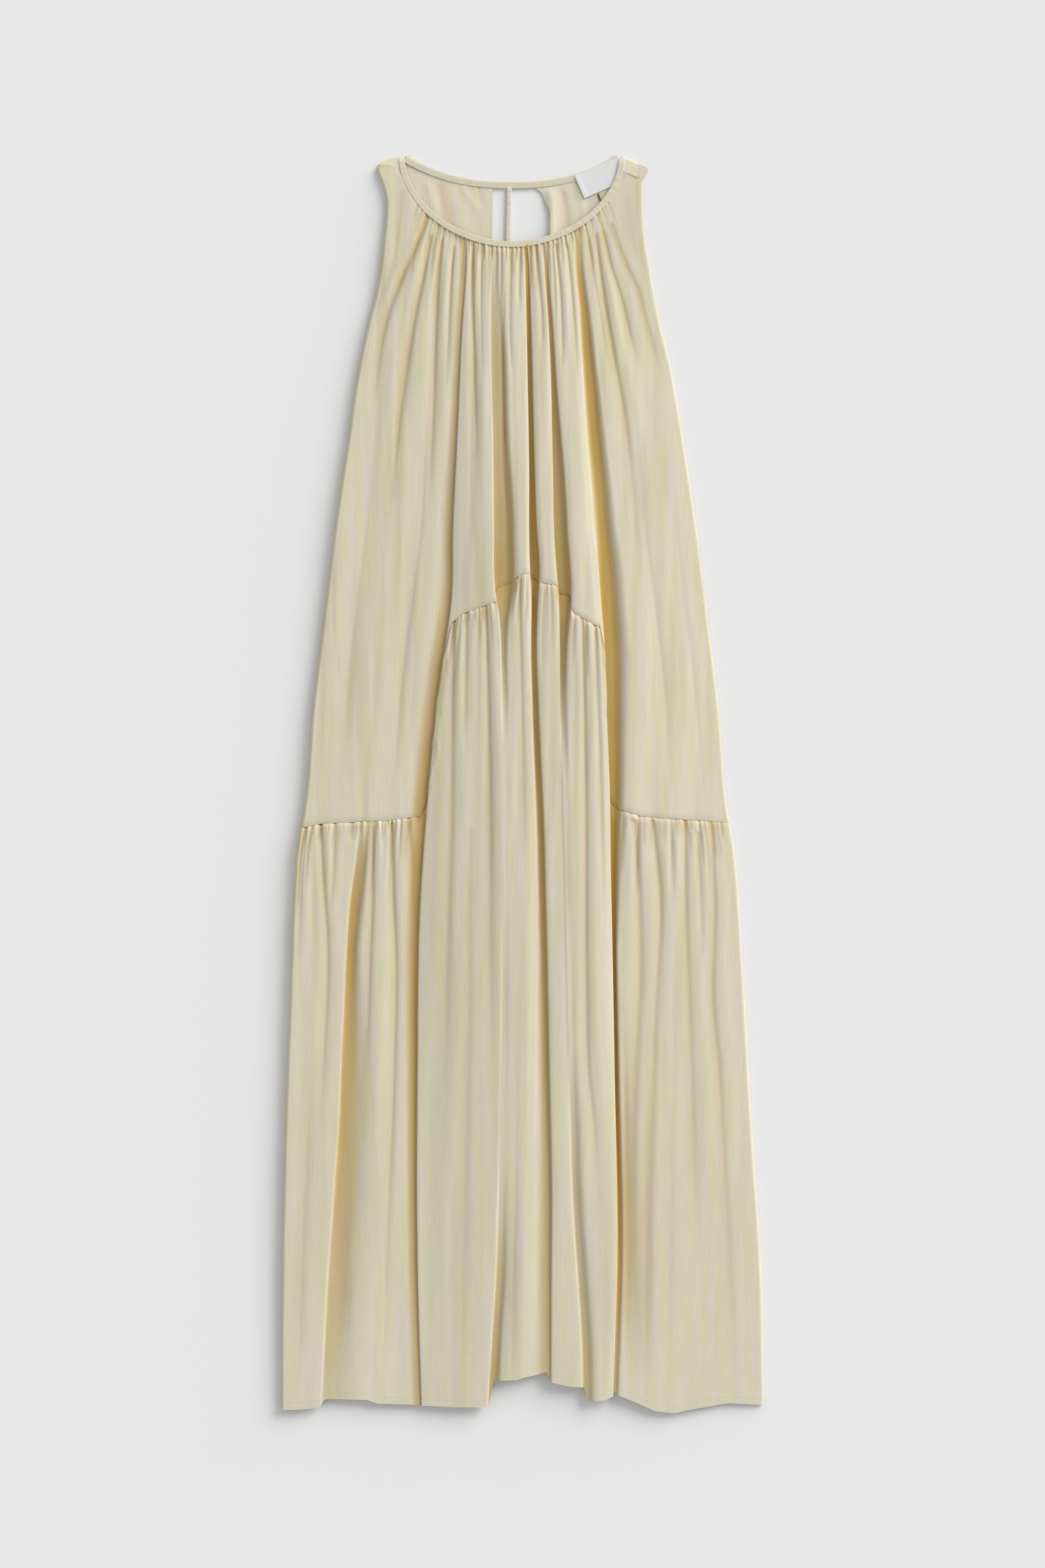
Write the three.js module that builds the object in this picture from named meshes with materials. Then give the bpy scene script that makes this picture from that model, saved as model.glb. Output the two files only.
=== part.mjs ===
// Sleeveless tiered midi dress, laid out face up. Units are millimetres, +Z up.
// The neck points to +Y and the hem to -Y.
// The origin is under the middle of the dress, on the surface it lies on.
// "down" is the distance below the top of the shoulders, so y = LENGTH / 2 - down.
import * as THREE from "three";

// ---------- driving dimensions ----------
const LENGTH = 1300; // shoulder to the lowest point of the hem
const CLOTH = 1.2; // wall of every panel
const GAP = 0.3; // between two pieces at a seam
const TIER_GAP = 0.4; // at the tier seam of the front, which runs up the steep sides of the folds
const INSIDE = 1.4; // between the back panel and the front panel where no fold lifts it
const TOP_LEVEL = 2 * CLOTH + INSIDE; // outer face of the front where it lies flat

const NECK_X = -11; // the neck lies a little left of the middle
const NECK_HALF = 115; // front neck seam, half width
const NECK_DEEP = 94; // front neck seam, depth
const NECK_POWER = 1.9; // how square the front neck's curve is: 2 is an ellipse
const BACK_NECK_DEEP = 28;
const BINDING = { wide: 6.4, proud: 0.4 };
const KEYHOLE = { x: -2, half: 29.5, bottom: 122, round: 26, side: 1.2 };
const BINDING_START = 5; // the front binding starts this far below the top of the shoulders
const TIE = { x: -14.5, wide: 5.4, thick: 0.8, bottom: 94, shift: 1.6, drop_from: 0.08, drop_over: 0.15 };
const LABEL = { x: 82, down: 22.6, long: 50, high: 25, thick: 0.4, turn: 0.41, above: CLOTH + BINDING.proud };
const SIZE_TAB = { x: 79.4, down: 43, long: 2, high: 7.6, thick: 0.3, turn: 0.32, above: CLOTH };
const RIM_REACH = 8; // the front rounds down to its side edges over this width
const SEAM_WIDTHS_AT = 481; // the tier seam's table is read across the widths of the valleys here
const HEM_WIDTHS_AT = 1290; // and the hem's table here
const BACK_SEAM = 692; // tier seam of the back, level
const BACK_SPREAD = { from: 130, over: 500 }; // below this the back's lines spread with its sides
const BACK_NECK_POWER = 2.2; // how square the back neck's curve is
const BACK_HEM_SHORT = 5; // the back hem stays this far above the front hem

const BODICE_ROWS = 12;
const SKIRT_ROWS = 10;
const BACK_BODICE_ROWS = 8;
const BACK_SKIRT_ROWS = 6;
const TIE_ROWS = 12;

// ---------- tables ----------
const table = (columns, rows) =>
  rows.map((row) => Object.fromEntries(columns.map((name, i) => [name, row[i]])));

// Sections across the front: the two side edges, and the middle of each of the five long folds' valleys.
const SECTIONS = table(
  ["down", "left", "v1", "v2", "v3", "v4", "v5", "right"],
  [
    [10, -151, -60, -27, 3, 21, 56, 130],
    [46, -142, -60, -27, 3, 21, 56, 124.5],
    [80, -143, -60, -27, 3, 23, 58, 126],
    [115, -147, -60, -27, 5, 24, 59, 131],
    [184, -161, -65, -27, 7, 29, 66, 145],
    [281, -178, -69, -25, 9, 34, 73, 164],
    [391, -195, -74, -20, 11, 39, 83, 181],
    [481, -206, -78, -20, 13, 42, 89, 192],
    [571, -217, -91, -19, 14, 41, 93, 203],
    [678, -227, -102, -19, 18, 43, 95, 213],
    [771, -237, -108, -19, 21, 46, 94, 224],
    [943, -244, -111, -18, 25, 50, 96, 234],
    [1150, -249, -111, -24, 27, 59, 99, 247],
    [1300, -250, -107, -32, 27, 66, 95, 250],
  ],
);

// Each long valley at the listed stations: half width of its floor, and the share of the height it sinks.
const STATIONS = [90, 184, 391, 481, 571, 678, 943, 1150, 1300];
const VALLEYS = table(
  ["line", "left_flank", "right_flank", "half", "deep"],
  [
    ["v1", 12, 3, [2, 2.5, 3, 3.5, 4.5, 4.5, 3.5, 3, 3], [0.3, 0.52, 0.56, 0.57, 0.57, 0.57, 0.57, 0.54, 0.48]],
    ["v2", 3, 4, [1.5, 4, 8, 7, 2, 1.5, 1.5, 2, 3], [0.1, 0.25, 0.48, 0.5, 0.1, 0.05, 0.05, 0.28, 0.56]],
    ["v3", 3, 3, [2, 2.5, 4, 3.5, 2.5, 2.5, 2.5, 2.5, 2.5], [0.4, 0.58, 0.6, 0.56, 0.43, 0.43, 0.4, 0.36, 0.33]],
    ["v4", 3, 3, [2, 2.5, 6, 5, 1.5, 1.5, 1.5, 1.5, 2], [0.25, 0.45, 0.5, 0.5, 0.2, 0, 0.05, 0.32, 0.43]],
    ["v5", 4, 7, [2.5, 4, 5, 7.5, 7, 6.5, 2.5, 2.5, 2.5], [0.4, 0.7, 0.76, 0.76, 0.76, 0.78, 0.8, 0.7, 0.56]],
  ],
);

// Softer creases: where each starts and ends, its place at three points, its half width and depth.
const CREASES = table(
  ["top", "bottom", "x_top", "x_middle", "x_bottom", "half", "deep"],
  [
    [80, 300, -104, -138, -157, 9, 0.35],
    [80, 420, -84, -95, -103, 8, 0.4],
    [80, 640, 78, 106, 122, 11, 0.35],
    [80, 230, 92, 118, 136, 7, 0.3],
    [700, 1150, -168, -181, -192, 7, 0.6],
    [690, 1250, -135, -136, -142, 12, 0.35],
    [490, 1010, -75, -80, -84, 8, 0.35],
    [480, 1000, -33, -34, -32, 7, 0.35],
    [510, 1000, 67, 66, 72, 6, 0.5],
    [700, 1230, 130, 137, 122, 12, 0.35],
    [700, 1200, 184, 192, 206, 12, 0.3],
  ],
);

// Heights of the outer face above the surface: the flat sides, and the crests of the folds in the middle.
const HEIGHTS = table(
  ["down", "rim", "side", "middle"],
  [
    [10, 3.8, 3.8, 4],
    [60, 2.9, 4.8, 6.5],
    [115, 2.7, 6.5, 9.5],
    [184, 2.7, 8, 13.5],
    [300, 2.7, 9, 18],
    [426, 2.7, 9.5, 21],
    [680, 2.7, 10, 22],
    [900, 2.7, 10, 21],
    [1150, 2.7, 9, 17],
    [1300, 2.7, 8, 13],
  ],
);

// How far down the tier seam and the hem lie at the edges of the valleys: the seam climbs inside v1 and v5.
const EDGES = table(
  ["at", "seam", "hem"],
  [
    ["left", 695, 1292],
    ["v1.left", 684, 1293],
    ["v1.right", 482, 1296],
    ["v2.left", 463, 1292],
    ["v2.right", 442, 1267],
    ["v3.left", 433, 1267],
    ["v3.right", 442, 1266],
    ["v4.left", 445, 1274],
    ["v4.right", 474, 1288],
    ["v5.left", 488, 1287],
    ["v5.right", 676, 1284],
    ["right", 691, 1293],
  ],
);
// The hem swings as two soft waves on each side panel: the middle, half length and drop of each.
const HEM_WAVES = table(
  ["x", "half", "drop"],
  [
    [-232, 16, 8],
    [-190, 20, -8],
    [150, 26, 9],
  ],
);

// The shoulders: tip, corner at the neck, and how far the back panel comes over to the front at each.
const SHOULDERS = table(
  ["tip_x", "tip_down", "neck_x", "over_tip", "over_neck"],
  [
    [-151, 13, NECK_X - NECK_HALF, 4, 16],
    [130, 13, NECK_X + NECK_HALF, 10, 13],
  ],
);

// ---------- curves read from the tables ----------
const clamp = (v, low, high) => Math.min(high, Math.max(low, v));
const mix = (a, b, t) => a + (b - a) * t;
const ease = (t) => {
  const c = clamp(t, 0, 1);
  return c * c * (3 - 2 * c);
};

// A smooth curve through (xs, ys), with the slope at each point taken from its neighbours.
function smooth(xs, ys, x) {
  const last = xs.length - 1;
  if (x <= xs[0]) return ys[0];
  if (x >= xs[last]) return ys[last];
  const i = xs.findIndex((v) => v > x) - 1;
  const slope = (k) => {
    const a = Math.max(k - 1, 0);
    const b = Math.min(k + 1, last);
    return (ys[b] - ys[a]) / (xs[b] - xs[a]);
  };
  const h = xs[i + 1] - xs[i];
  const t = (x - xs[i]) / h;
  const bend = (1 - t) * slope(i) * h * t * (1 - t) - t * slope(i + 1) * h * t * (1 - t);
  return mix(ys[i], ys[i + 1], ease(t)) + bend;
}
// The step of xs that holds x, or the nearest one.
function stepAt(xs, x) {
  const past = xs.findIndex((v) => v > x);
  return past < 0 ? xs.length - 2 : Math.max(past - 1, 0);
}
const column = (rows, key) => rows.map((row) => row[key]);
const sectionAt = (key, down) => smooth(column(SECTIONS, "down"), column(SECTIONS, key), down);
const heightAt = (key, down) => smooth(column(HEIGHTS, "down"), column(HEIGHTS, key), down);

// A valley's middle, the two edges of its floor, the outer ends of its flanks and its depth at one section.
function valleyAt(valley, down) {
  const middle = sectionAt(valley.line, down);
  const half = smooth(STATIONS, valley.half, down);
  return {
    left: middle - half,
    right: middle + half,
    start: middle - half - valley.left_flank,
    end: middle + half + valley.right_flank,
    deep: smooth(STATIONS, valley.deep, down),
  };
}

// How far a crease has sunk the cloth at a point, from 0 to its depth.
function creaseAt(crease, x, down) {
  const t = (down - crease.top) / (crease.bottom - crease.top);
  if (t <= 0 || t >= 1) return 0;
  const middle = smooth([0, 0.5, 1], [crease.x_top, crease.x_middle, crease.x_bottom], t);
  const across = (x - middle) / crease.half;
  return crease.deep * Math.sin(Math.PI * Math.sqrt(t)) * Math.exp(-across * across);
}

// The outer face of the front at x, down.
function frontHeight(x, down) {
  const valleys = VALLEYS.map((valley) => valleyAt(valley, down));
  const first = valleys[0];
  const last = valleys[valleys.length - 1];
  const pastFirst = ease((x - first.left) / (first.right - first.left));
  const beforeLast = ease((last.right - x) / (last.right - last.left));
  const lifted = pastFirst * beforeLast;
  const flat = mix(heightAt("side", down), heightAt("middle", down), lifted);
  const rim = heightAt("rim", down);
  const inFromEdge = Math.min(x - sectionAt("left", down), sectionAt("right", down) - x);
  const inFromTurn = 1 - clamp(inFromEdge / RIM_REACH, 0, 1);
  const full = mix(rim, flat, Math.sqrt(1 - inFromTurn ** 2));
  const floor = Math.min(TOP_LEVEL, full);
  let share = 1;
  for (const v of valleys) {
    const sunk = ease((x - v.start) / (v.left - v.start)) * ease((v.end - x) / (v.end - v.right));
    share *= 1 - v.deep * sunk;
  }
  for (const crease of CREASES) share *= 1 - creaseAt(crease, x, down);
  return floor + (full - floor) * share;
}

// ---------- outlines ----------
// The front neck seam is nearly half an ellipse; past its ends the top of the front is the shoulder.
function shoulderFold(x) {
  const side = SHOULDERS[x < NECK_X ? 0 : 1];
  const t = clamp((x - side.neck_x) / (side.tip_x - side.neck_x), 0, 1);
  return { down: side.tip_down * t, over: mix(side.over_neck, side.over_tip, t) };
}
function frontTop(x) {
  const t = Math.abs(x - NECK_X) / NECK_HALF;
  const { down, over } = shoulderFold(x);
  const seam = down + over;
  return t >= 1 ? seam : Math.max(seam, NECK_DEEP * (1 - t ** NECK_POWER) ** (1 / NECK_POWER));
}
function backTop(x) {
  const t = Math.abs(x - NECK_X) / NECK_HALF;
  return t >= 1 ? shoulderFold(x).down : BACK_NECK_DEEP * (1 - t ** BACK_NECK_POWER) + BINDING.wide + GAP;
}

// ---------- columns of the front ----------
// A column is a share of the way between two named lines.
// Each valley has a column at the start and end of its flanks and at both edges of its floor.
const spread = (from, to, shares) => shares.map((share) => ({ from, to, share }));
const valleyColumns = (line) =>
  ["start", "left", "right", "end"].flatMap((edge) => spread(line + "." + edge, line + "." + edge, [0]));
const across = [
  ...spread("left", "v1.start", [0, 0.01, 0.03, 0.06, 0.12, 0.18, 0.24, 0.3, 0.4, 0.52, 0.66, 0.82]),
  ...valleyColumns("v1"),
  ...spread("v1.end", "v2.start", [0.25, 0.5, 0.75]),
  ...valleyColumns("v2"),
  ...spread("v2.end", "v3.start", [0.5]),
  ...valleyColumns("v3"),
  ...spread("v3.end", "v4.start", [0.5]),
  ...valleyColumns("v4"),
  ...spread("v4.end", "v5.start", [0.3, 0.6]),
  ...valleyColumns("v5"),
  ...spread("v5.end", "right", [0.15, 0.3, 0.45, 0.56, 0.66, 0.78, 0.88, 0.94, 0.97, 0.99, 1]),
];
const PANEL_SEAM = across.findIndex((c) => c.from === "v4.end" && c.share === 0.6);

// Where a named line lies at a section.
function lineAt(name, down) {
  const [line, edge] = name.split(".");
  if (!edge) return sectionAt(line, down);
  return valleyAt(VALLEYS.find((valley) => valley.line === line), down)[edge];
}
const columnX = (c, down) => mix(lineAt(c.from, down), lineAt(c.to, down), c.share);

// The tier seam and the hem, read along the columns at a section where the valleys are wide.
function edgeDown(c, key, down) {
  const xs = EDGES.map((row) => lineAt(row.at, down));
  const ys = column(EDGES, key);
  const x = columnX(c, down);
  const i = stepAt(xs, x);
  const level = mix(ys[i], ys[i + 1], clamp((x - xs[i]) / (xs[i + 1] - xs[i]), 0, 1));
  if (key === "seam") return level;
  return level + HEM_WAVES.reduce((sum, w) => sum + w.drop * Math.exp(-(((x - w.x) / w.half) ** 2)), 0);
}
const seamDown = (c) => edgeDown(c, "seam", SEAM_WIDTHS_AT);
const hemDown = (c) => edgeDown(c, "hem", HEM_WIDTHS_AT);

const HALVINGS = 40;
// Where a column, whose x at any section is xOf(down), crosses the top outline.
function topDown(xOf, outline) {
  let low = 0;
  let high = KEYHOLE.bottom + KEYHOLE.round;
  for (let i = 0; i < HALVINGS; i++) {
    const middle = (low + high) / 2;
    if (middle > outline(xOf(middle))) high = middle;
    else low = middle;
  }
  return high;
}

// ---------- walls of cloth ----------
const at = (x, down, z) => new THREE.Vector3(x, LENGTH / 2 - down, z);

// A closed wall between two grids of points that face each other. cell(i, j) says which squares are cloth.
function wallBetween(one, two, cell = () => true) {
  const rows = one.length;
  const columns = one[0].length;
  const positions = [...one.flat(), ...two.flat()].flatMap((p) => [p.x, p.y, p.z]);
  const side = rows * columns;
  const faces = [];
  const square = (a, b, c, d) => faces.push(a, b, c, a, c, d);
  const has = (i, j) => i >= 0 && j >= 0 && i < rows - 1 && j < columns - 1 && cell(i, j);
  for (let i = 0; i < rows - 1; i++) {
    for (let j = 0; j < columns - 1; j++) {
      if (!has(i, j)) continue;
      const a = i * columns + j;
      const b = a + 1;
      const d = a + columns;
      const c = d + 1;
      square(a, d, c, b);
      square(side + a, side + b, side + c, side + d);
      if (!has(i - 1, j)) square(a, b, side + b, side + a);
      if (!has(i + 1, j)) square(c, d, side + d, side + c);
      if (!has(i, j - 1)) square(d, a, side + a, side + d);
      if (!has(i, j + 1)) square(b, c, side + c, side + b);
    }
  }
  const geometry = new THREE.BufferGeometry();
  geometry.setAttribute("position", new THREE.Float32BufferAttribute(positions, 3));
  geometry.setIndex(faces);
  return geometry;
}

// The point at a seam moved half a gap away from it, and the cloth's inner point there.
// Both panels use the same normal, so their ends stay parallel.
function seamPoints(line, towards) {
  return line.map((p, i) => {
    const before = line[Math.max(i - 1, 0)];
    const after = line[Math.min(i + 1, line.length - 1)];
    const intoBefore = new THREE.Vector2(p.x - before.x, p.y - before.y).normalize();
    const intoAfter = new THREE.Vector2(after.x - p.x, after.y - p.y).normalize();
    const along = intoBefore.clone().add(intoAfter).normalize();
    const turn = Math.max(0.5, Math.abs(along.dot(i ? intoBefore : intoAfter)));
    const away = new THREE.Vector3(-along.y, along.x, 0);
    const tangent = after.clone().sub(before).normalize();
    const normal = new THREE.Vector3().crossVectors(tangent, away).normalize();
    if (normal.z < 0) normal.negate();
    const outer = p.clone().addScaledVector(away, (towards * TIER_GAP) / 2 / turn);
    return { outer, inner: outer.clone().addScaledVector(normal, -CLOTH) };
  });
}

// Inner points of a grid of outer points, one cloth below along the normal.
function innerGrid(outer) {
  return outer.map((row, i) =>
    row.map((p, j) => {
      const up = outer[Math.max(i - 1, 0)][j].clone().sub(outer[Math.min(i + 1, outer.length - 1)][j]);
      const right = row[Math.min(j + 1, row.length - 1)].clone().sub(row[Math.max(j - 1, 0)]);
      const normal = right.cross(up).normalize();
      return p.clone().addScaledVector(normal, -CLOTH);
    }),
  );
}

// A front panel between two outlines, on the columns from first to last.
function frontPanel(columns, topOf, bottomOf, rows, nudge = () => 0) {
  const outer = [];
  for (let i = 0; i <= rows; i++) {
    outer.push(
      columns.map((c, j) => {
        const down = mix(topOf(c), bottomOf(c), i / rows);
        const x = columnX(c, down);
        return at(x + nudge(j), down, frontHeight(x, down));
      }),
    );
  }
  return { outer, inner: innerGrid(outer) };
}

const seamLine = across.map((c) => {
  const down = seamDown(c);
  const x = columnX(c, down);
  return at(x, down, frontHeight(x, down));
});
function sewTo(grid, row, line, towards) {
  seamPoints(line, towards).forEach(({ outer, inner }, j) => {
    grid.outer[row][j] = outer;
    grid.inner[row][j] = inner;
  });
}


const frontStart = (c) => topDown((down) => columnX(c, down), frontTop) + GAP;
const frontBodiceGrid = frontPanel(across, frontStart, seamDown, BODICE_ROWS);
sewTo(frontBodiceGrid, BODICE_ROWS, seamLine, 1);

function frontSkirtGrid(first, last, nudge) {
  const columns = across.slice(first, last + 1);
  const grid = frontPanel(columns, seamDown, hemDown, SKIRT_ROWS, nudge);
  sewTo(grid, 0, seamLine.slice(first, last + 1), -1);
  return grid;
}
// At a side edge the panel's inner face comes down to the back panel.
function closeSide(grid, j) {
  for (const row of grid.inner) row[j].z = CLOTH + GAP;
}
const skirtEnd = across.length - 1;
closeSide(frontBodiceGrid, 0);
closeSide(frontBodiceGrid, skirtEnd);
const centreGrid = frontSkirtGrid(0, PANEL_SEAM, (j) => (j === PANEL_SEAM ? -GAP / 2 : 0));
const rightGrid = frontSkirtGrid(PANEL_SEAM, skirtEnd, (j) => (j === 0 ? GAP / 2 : 0));
for (const [grid, j, way] of [
  [centreGrid, PANEL_SEAM, -1],
  [rightGrid, 0, 1],
]) {
  for (const face of [grid.outer, grid.inner]) face[0][j].x += (way * GAP) / 2;
}

closeSide(centreGrid, 0);
closeSide(rightGrid, skirtEnd - PANEL_SEAM);

// ---------- the back ----------
const backSpread = (from, to, shares) => shares.map((share) => ({ share, between: [from, to] }));
const backColumns = [
  ...backSpread("left", "corner_left", [0, 0.35, 0.7]),
  ...backSpread("corner_left", "keyhole_left", [0, 0.12, 0.28, 0.45, 0.62, 0.8]),
  ...backSpread("keyhole_left", "keyhole_right", [0, 0.02, 0.12, 0.3, 0.5, 0.7, 0.88, 0.98]),
  ...backSpread("keyhole_right", "corner_right", [0, 0.2, 0.4, 0.6, 0.76, 0.9]),
  ...backSpread("corner_right", "right", [0, 0.3, 0.65, 1]),
];
const CORNER_LEFT = backColumns.findIndex((c) => c.between[0] === "corner_left");
const CORNER_RIGHT = backColumns.findIndex((c) => c.between[0] === "corner_right");
// The lines of the back spread out below the neck in step with its sides.
function backLineAt(name, down) {
  const left = sectionAt("left", down);
  const right = sectionAt("right", down);
  const places = {
    left: sectionAt("left", BACK_SPREAD.from),
    corner_left: NECK_X - NECK_HALF,
    keyhole_left: KEYHOLE.x - KEYHOLE.half,
    keyhole_right: KEYHOLE.x + KEYHOLE.half,
    corner_right: NECK_X + NECK_HALF,
    right: sectionAt("right", BACK_SPREAD.from),
  };
  if (name === "left") return left;
  if (name === "right") return right;
  const spreadOut = ease((down - BACK_SPREAD.from) / BACK_SPREAD.over);
  const evenly = mix(left, right, (places[name] - places.left) / (places.right - places.left));
  return mix(places[name], evenly, spreadOut);
}
const backX = (c, down) => mix(backLineAt(c.between[0], down), backLineAt(c.between[1], down), c.share);

// The keyhole is a slot with a round end, open to the neck binding that spans it.
function backOutline(x) {
  const t = Math.abs(x - KEYHOLE.x) / (KEYHOLE.half - KEYHOLE.side);
  if (t >= 1) return backTop(x);
  return KEYHOLE.bottom - KEYHOLE.round * (1 - Math.sqrt(1 - t * t));
}

// At the shoulders the wall turns over on a half circle and lies level with the front,
// as far as the shoulder seam.
const FOLD_STEPS = 4;
const FOLD_RADIUS = (TOP_LEVEL - CLOTH) / 2;
function backBodiceFaces() {
  const tops = backColumns.map((c) => topDown((down) => backX(c, down), backOutline));
  const one = [];
  const two = [];
  const layer = (make) => {
    const points = backColumns.map(make);
    one.push(points.map(([m, n]) => m.clone().addScaledVector(n, CLOTH / 2)));
    two.push(points.map(([m, n]) => m.clone().addScaledVector(n, -CLOTH / 2)));
  };
  const overShare = (c) => shoulderFold(backX(c, 0)).over - FOLD_RADIUS - GAP;
  layer((c, j) => {
    const seam = at(backX(c, 0), tops[j] + FOLD_RADIUS + overShare(c), TOP_LEVEL - CLOTH / 2);
    return [seam, new THREE.Vector3(0, 0, -1)];
  });
  for (let k = FOLD_STEPS; k >= 0; k--) {
    const angle = (Math.PI * k) / FOLD_STEPS;
    const towardsAxis = new THREE.Vector3(0, -Math.sin(angle), Math.cos(angle));
    layer((c, j) => {
      const axis = at(backX(c, tops[j]), tops[j] + FOLD_RADIUS + CLOTH / 2, CLOTH / 2 + FOLD_RADIUS);
      return [axis.addScaledVector(towardsAxis, -FOLD_RADIUS), towardsAxis];
    });
  }
  for (let i = 1; i <= BACK_BODICE_ROWS; i++) {
    layer((c, j) => {
      const start = tops[j] + FOLD_RADIUS + CLOTH / 2;
      const down = mix(start, BACK_SEAM - GAP / 2, i / BACK_BODICE_ROWS);
      return [at(backX(c, down), down, CLOTH / 2), new THREE.Vector3(0, 0, 1)];
    });
  }
  const onShoulder = (j) => j < CORNER_LEFT || j >= CORNER_RIGHT;
  const flatFrom = FOLD_STEPS + 1;
  // Between the shoulders the wall starts at its own edge, not at the fold.
  for (let j = CORNER_LEFT + 1; j < CORNER_RIGHT; j++) {
    for (const [grid, z] of [
      [one, CLOTH],
      [two, 0],
    ]) {
      grid[flatFrom][j] = at(backX(backColumns[j], tops[j]), tops[j], z);
    }
  }
  return wallBetween(one, two, (i, j) => i >= flatFrom || onShoulder(j));
}

// The front hem above any x, so that the back hem can keep clear of it.
function hemFor(x) {
  const xs = across.map((c) => columnX(c, hemDown(c)));
  const ys = across.map(hemDown);
  const i = stepAt(xs, x);
  return mix(ys[i], ys[i + 1], clamp((x - xs[i]) / (xs[i + 1] - xs[i]), 0, 1));
}

const backHem = (c) => hemFor(backX(c, HEM_WIDTHS_AT)) - BACK_HEM_SHORT;

function backSkirtFaces() {
  const grid = (z) => {
    const points = [];
    for (let i = 0; i <= BACK_SKIRT_ROWS; i++) {
      points.push(
        backColumns.map((c) => {
          const down = mix(BACK_SEAM + GAP / 2, backHem(c), i / BACK_SKIRT_ROWS);
          return at(backX(c, down), down, z);
        }),
      );
    }
    return points;
  };
  return wallBetween(grid(CLOTH), grid(0));
}

// ---------- bindings, tie and label ----------
// The back neck binding lies level with the back panel and runs on across the keyhole.
function backBinding() {
  const places = backColumns.slice(CORNER_LEFT + 1, CORNER_RIGHT).map((c) => backX(c, 0));
  const edge = (z, reach) => places.map((x) => at(x, backTop(x) - GAP - reach, z));
  const high = CLOTH + BINDING.proud;
  return wallBetween([edge(high, BINDING.wide), edge(high, 0)], [edge(0, BINDING.wide), edge(0, 0)]);
}

// The front neck binding follows the gathered top of the front bodice, and runs up beside both shoulders.
function frontBinding() {
  const seam = frontBodiceGrid.outer[0].filter((p) => Math.abs(p.x - NECK_X) < NECK_HALF);
  const shoulderEnd = (side) => at(NECK_X + side * NECK_HALF, BINDING_START, TOP_LEVEL);
  const line = [shoulderEnd(-1), ...seam, shoulderEnd(1)];
  const edge = (reach, lift) =>
    line.map((p, i) => {
      const before = line[Math.max(i - 1, 0)];
      const after = line[Math.min(i + 1, line.length - 1)];
      const inward = new THREE.Vector3(before.y - after.y, after.x - before.x, 0).normalize();
      return p.clone().addScaledVector(inward, reach).add(new THREE.Vector3(0, 0, lift));
    });
  const near = GAP;
  const far = GAP + BINDING.wide;
  return wallBetween(
    [edge(far, BINDING.proud), edge(near, BINDING.proud)],
    [edge(far, -CLOTH), edge(near, -CLOTH)],
  );
}

// A narrow strip of folded cloth runs from the back binding down across the keyhole. Its lower end lies
// behind the front of the neck.
function neckTie() {
  const face = (lift) => {
    const points = [];
    for (let i = 0; i <= TIE_ROWS; i++) {
      const t = i / TIE_ROWS;
      const down = mix(backTop(TIE.x) - BINDING.wide, TIE.bottom, t);
      const x = TIE.x + TIE.shift * Math.sin(Math.PI * t);
      const z = mix(CLOTH + BINDING.proud + GAP, 0, ease((t - TIE.drop_from) / TIE.drop_over)) + lift;
      points.push([at(x - TIE.wide / 2, down, z), at(x + TIE.wide / 2, down, z)]);
    }
    return points;
  };
  return wallBetween(face(TIE.thick), face(0));
}

// A flat oblong that is sewn on the inside of the back, turned in its plane.
function sewnFlat({ x, down, long, high, thick, turn, above }) {
  const geometry = new THREE.BoxGeometry(long, high, thick);
  geometry.rotateZ(turn);
  geometry.translate(x, LENGTH / 2 - down, above + GAP + thick / 2);
  return geometry;
}

// ---------- materials and the dress ----------
const cloth = new THREE.MeshStandardMaterial({ color: 0xe0d6bb, roughness: 0.85, metalness: 0 });
const bindingCloth = new THREE.MeshStandardMaterial({ color: 0xddd3b6, roughness: 0.8, metalness: 0 });
const labelSatin = new THREE.MeshStandardMaterial({ color: 0xf1f1ef, roughness: 0.5, metalness: 0 });

const dress = new THREE.Group();
function add(name, geometry, material) {
  const mesh = new THREE.Mesh(geometry, material);
  mesh.name = name;
  dress.add(mesh);
  return mesh;
}

add("front_bodice", wallBetween(frontBodiceGrid.outer, frontBodiceGrid.inner), cloth);
add("back_bodice", backBodiceFaces(), cloth);
add("front_skirt_centre", wallBetween(centreGrid.outer, centreGrid.inner), cloth);
add("front_skirt_right", wallBetween(rightGrid.outer, rightGrid.inner), cloth);
add("back_skirt", backSkirtFaces(), cloth);

add("front_neck_binding", frontBinding(), bindingCloth);
add("back_neck_binding", backBinding(), bindingCloth);
add("neck_tie", neckTie(), bindingCloth);
add("neck_label", sewnFlat(LABEL), labelSatin);
add("size_tab", sewnFlat(SIZE_TAB), labelSatin);

export default dress;
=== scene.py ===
# %% [markdown]
# # A gathered midi dress, laid out flat
# The dress is a sleeveless one of thin cream crepe. A narrow binding gathers the front at the neck, deep
# folds fall from it down the middle, and a gathered lower tier is sewn on below an arched seam.
# The lesson builds each sewn piece as a closed wall of cloth, adds its stitches, and gives it a finish.
#
# First comes the fixed frame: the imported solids, in metres, which the looks are built around.

import math

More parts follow.
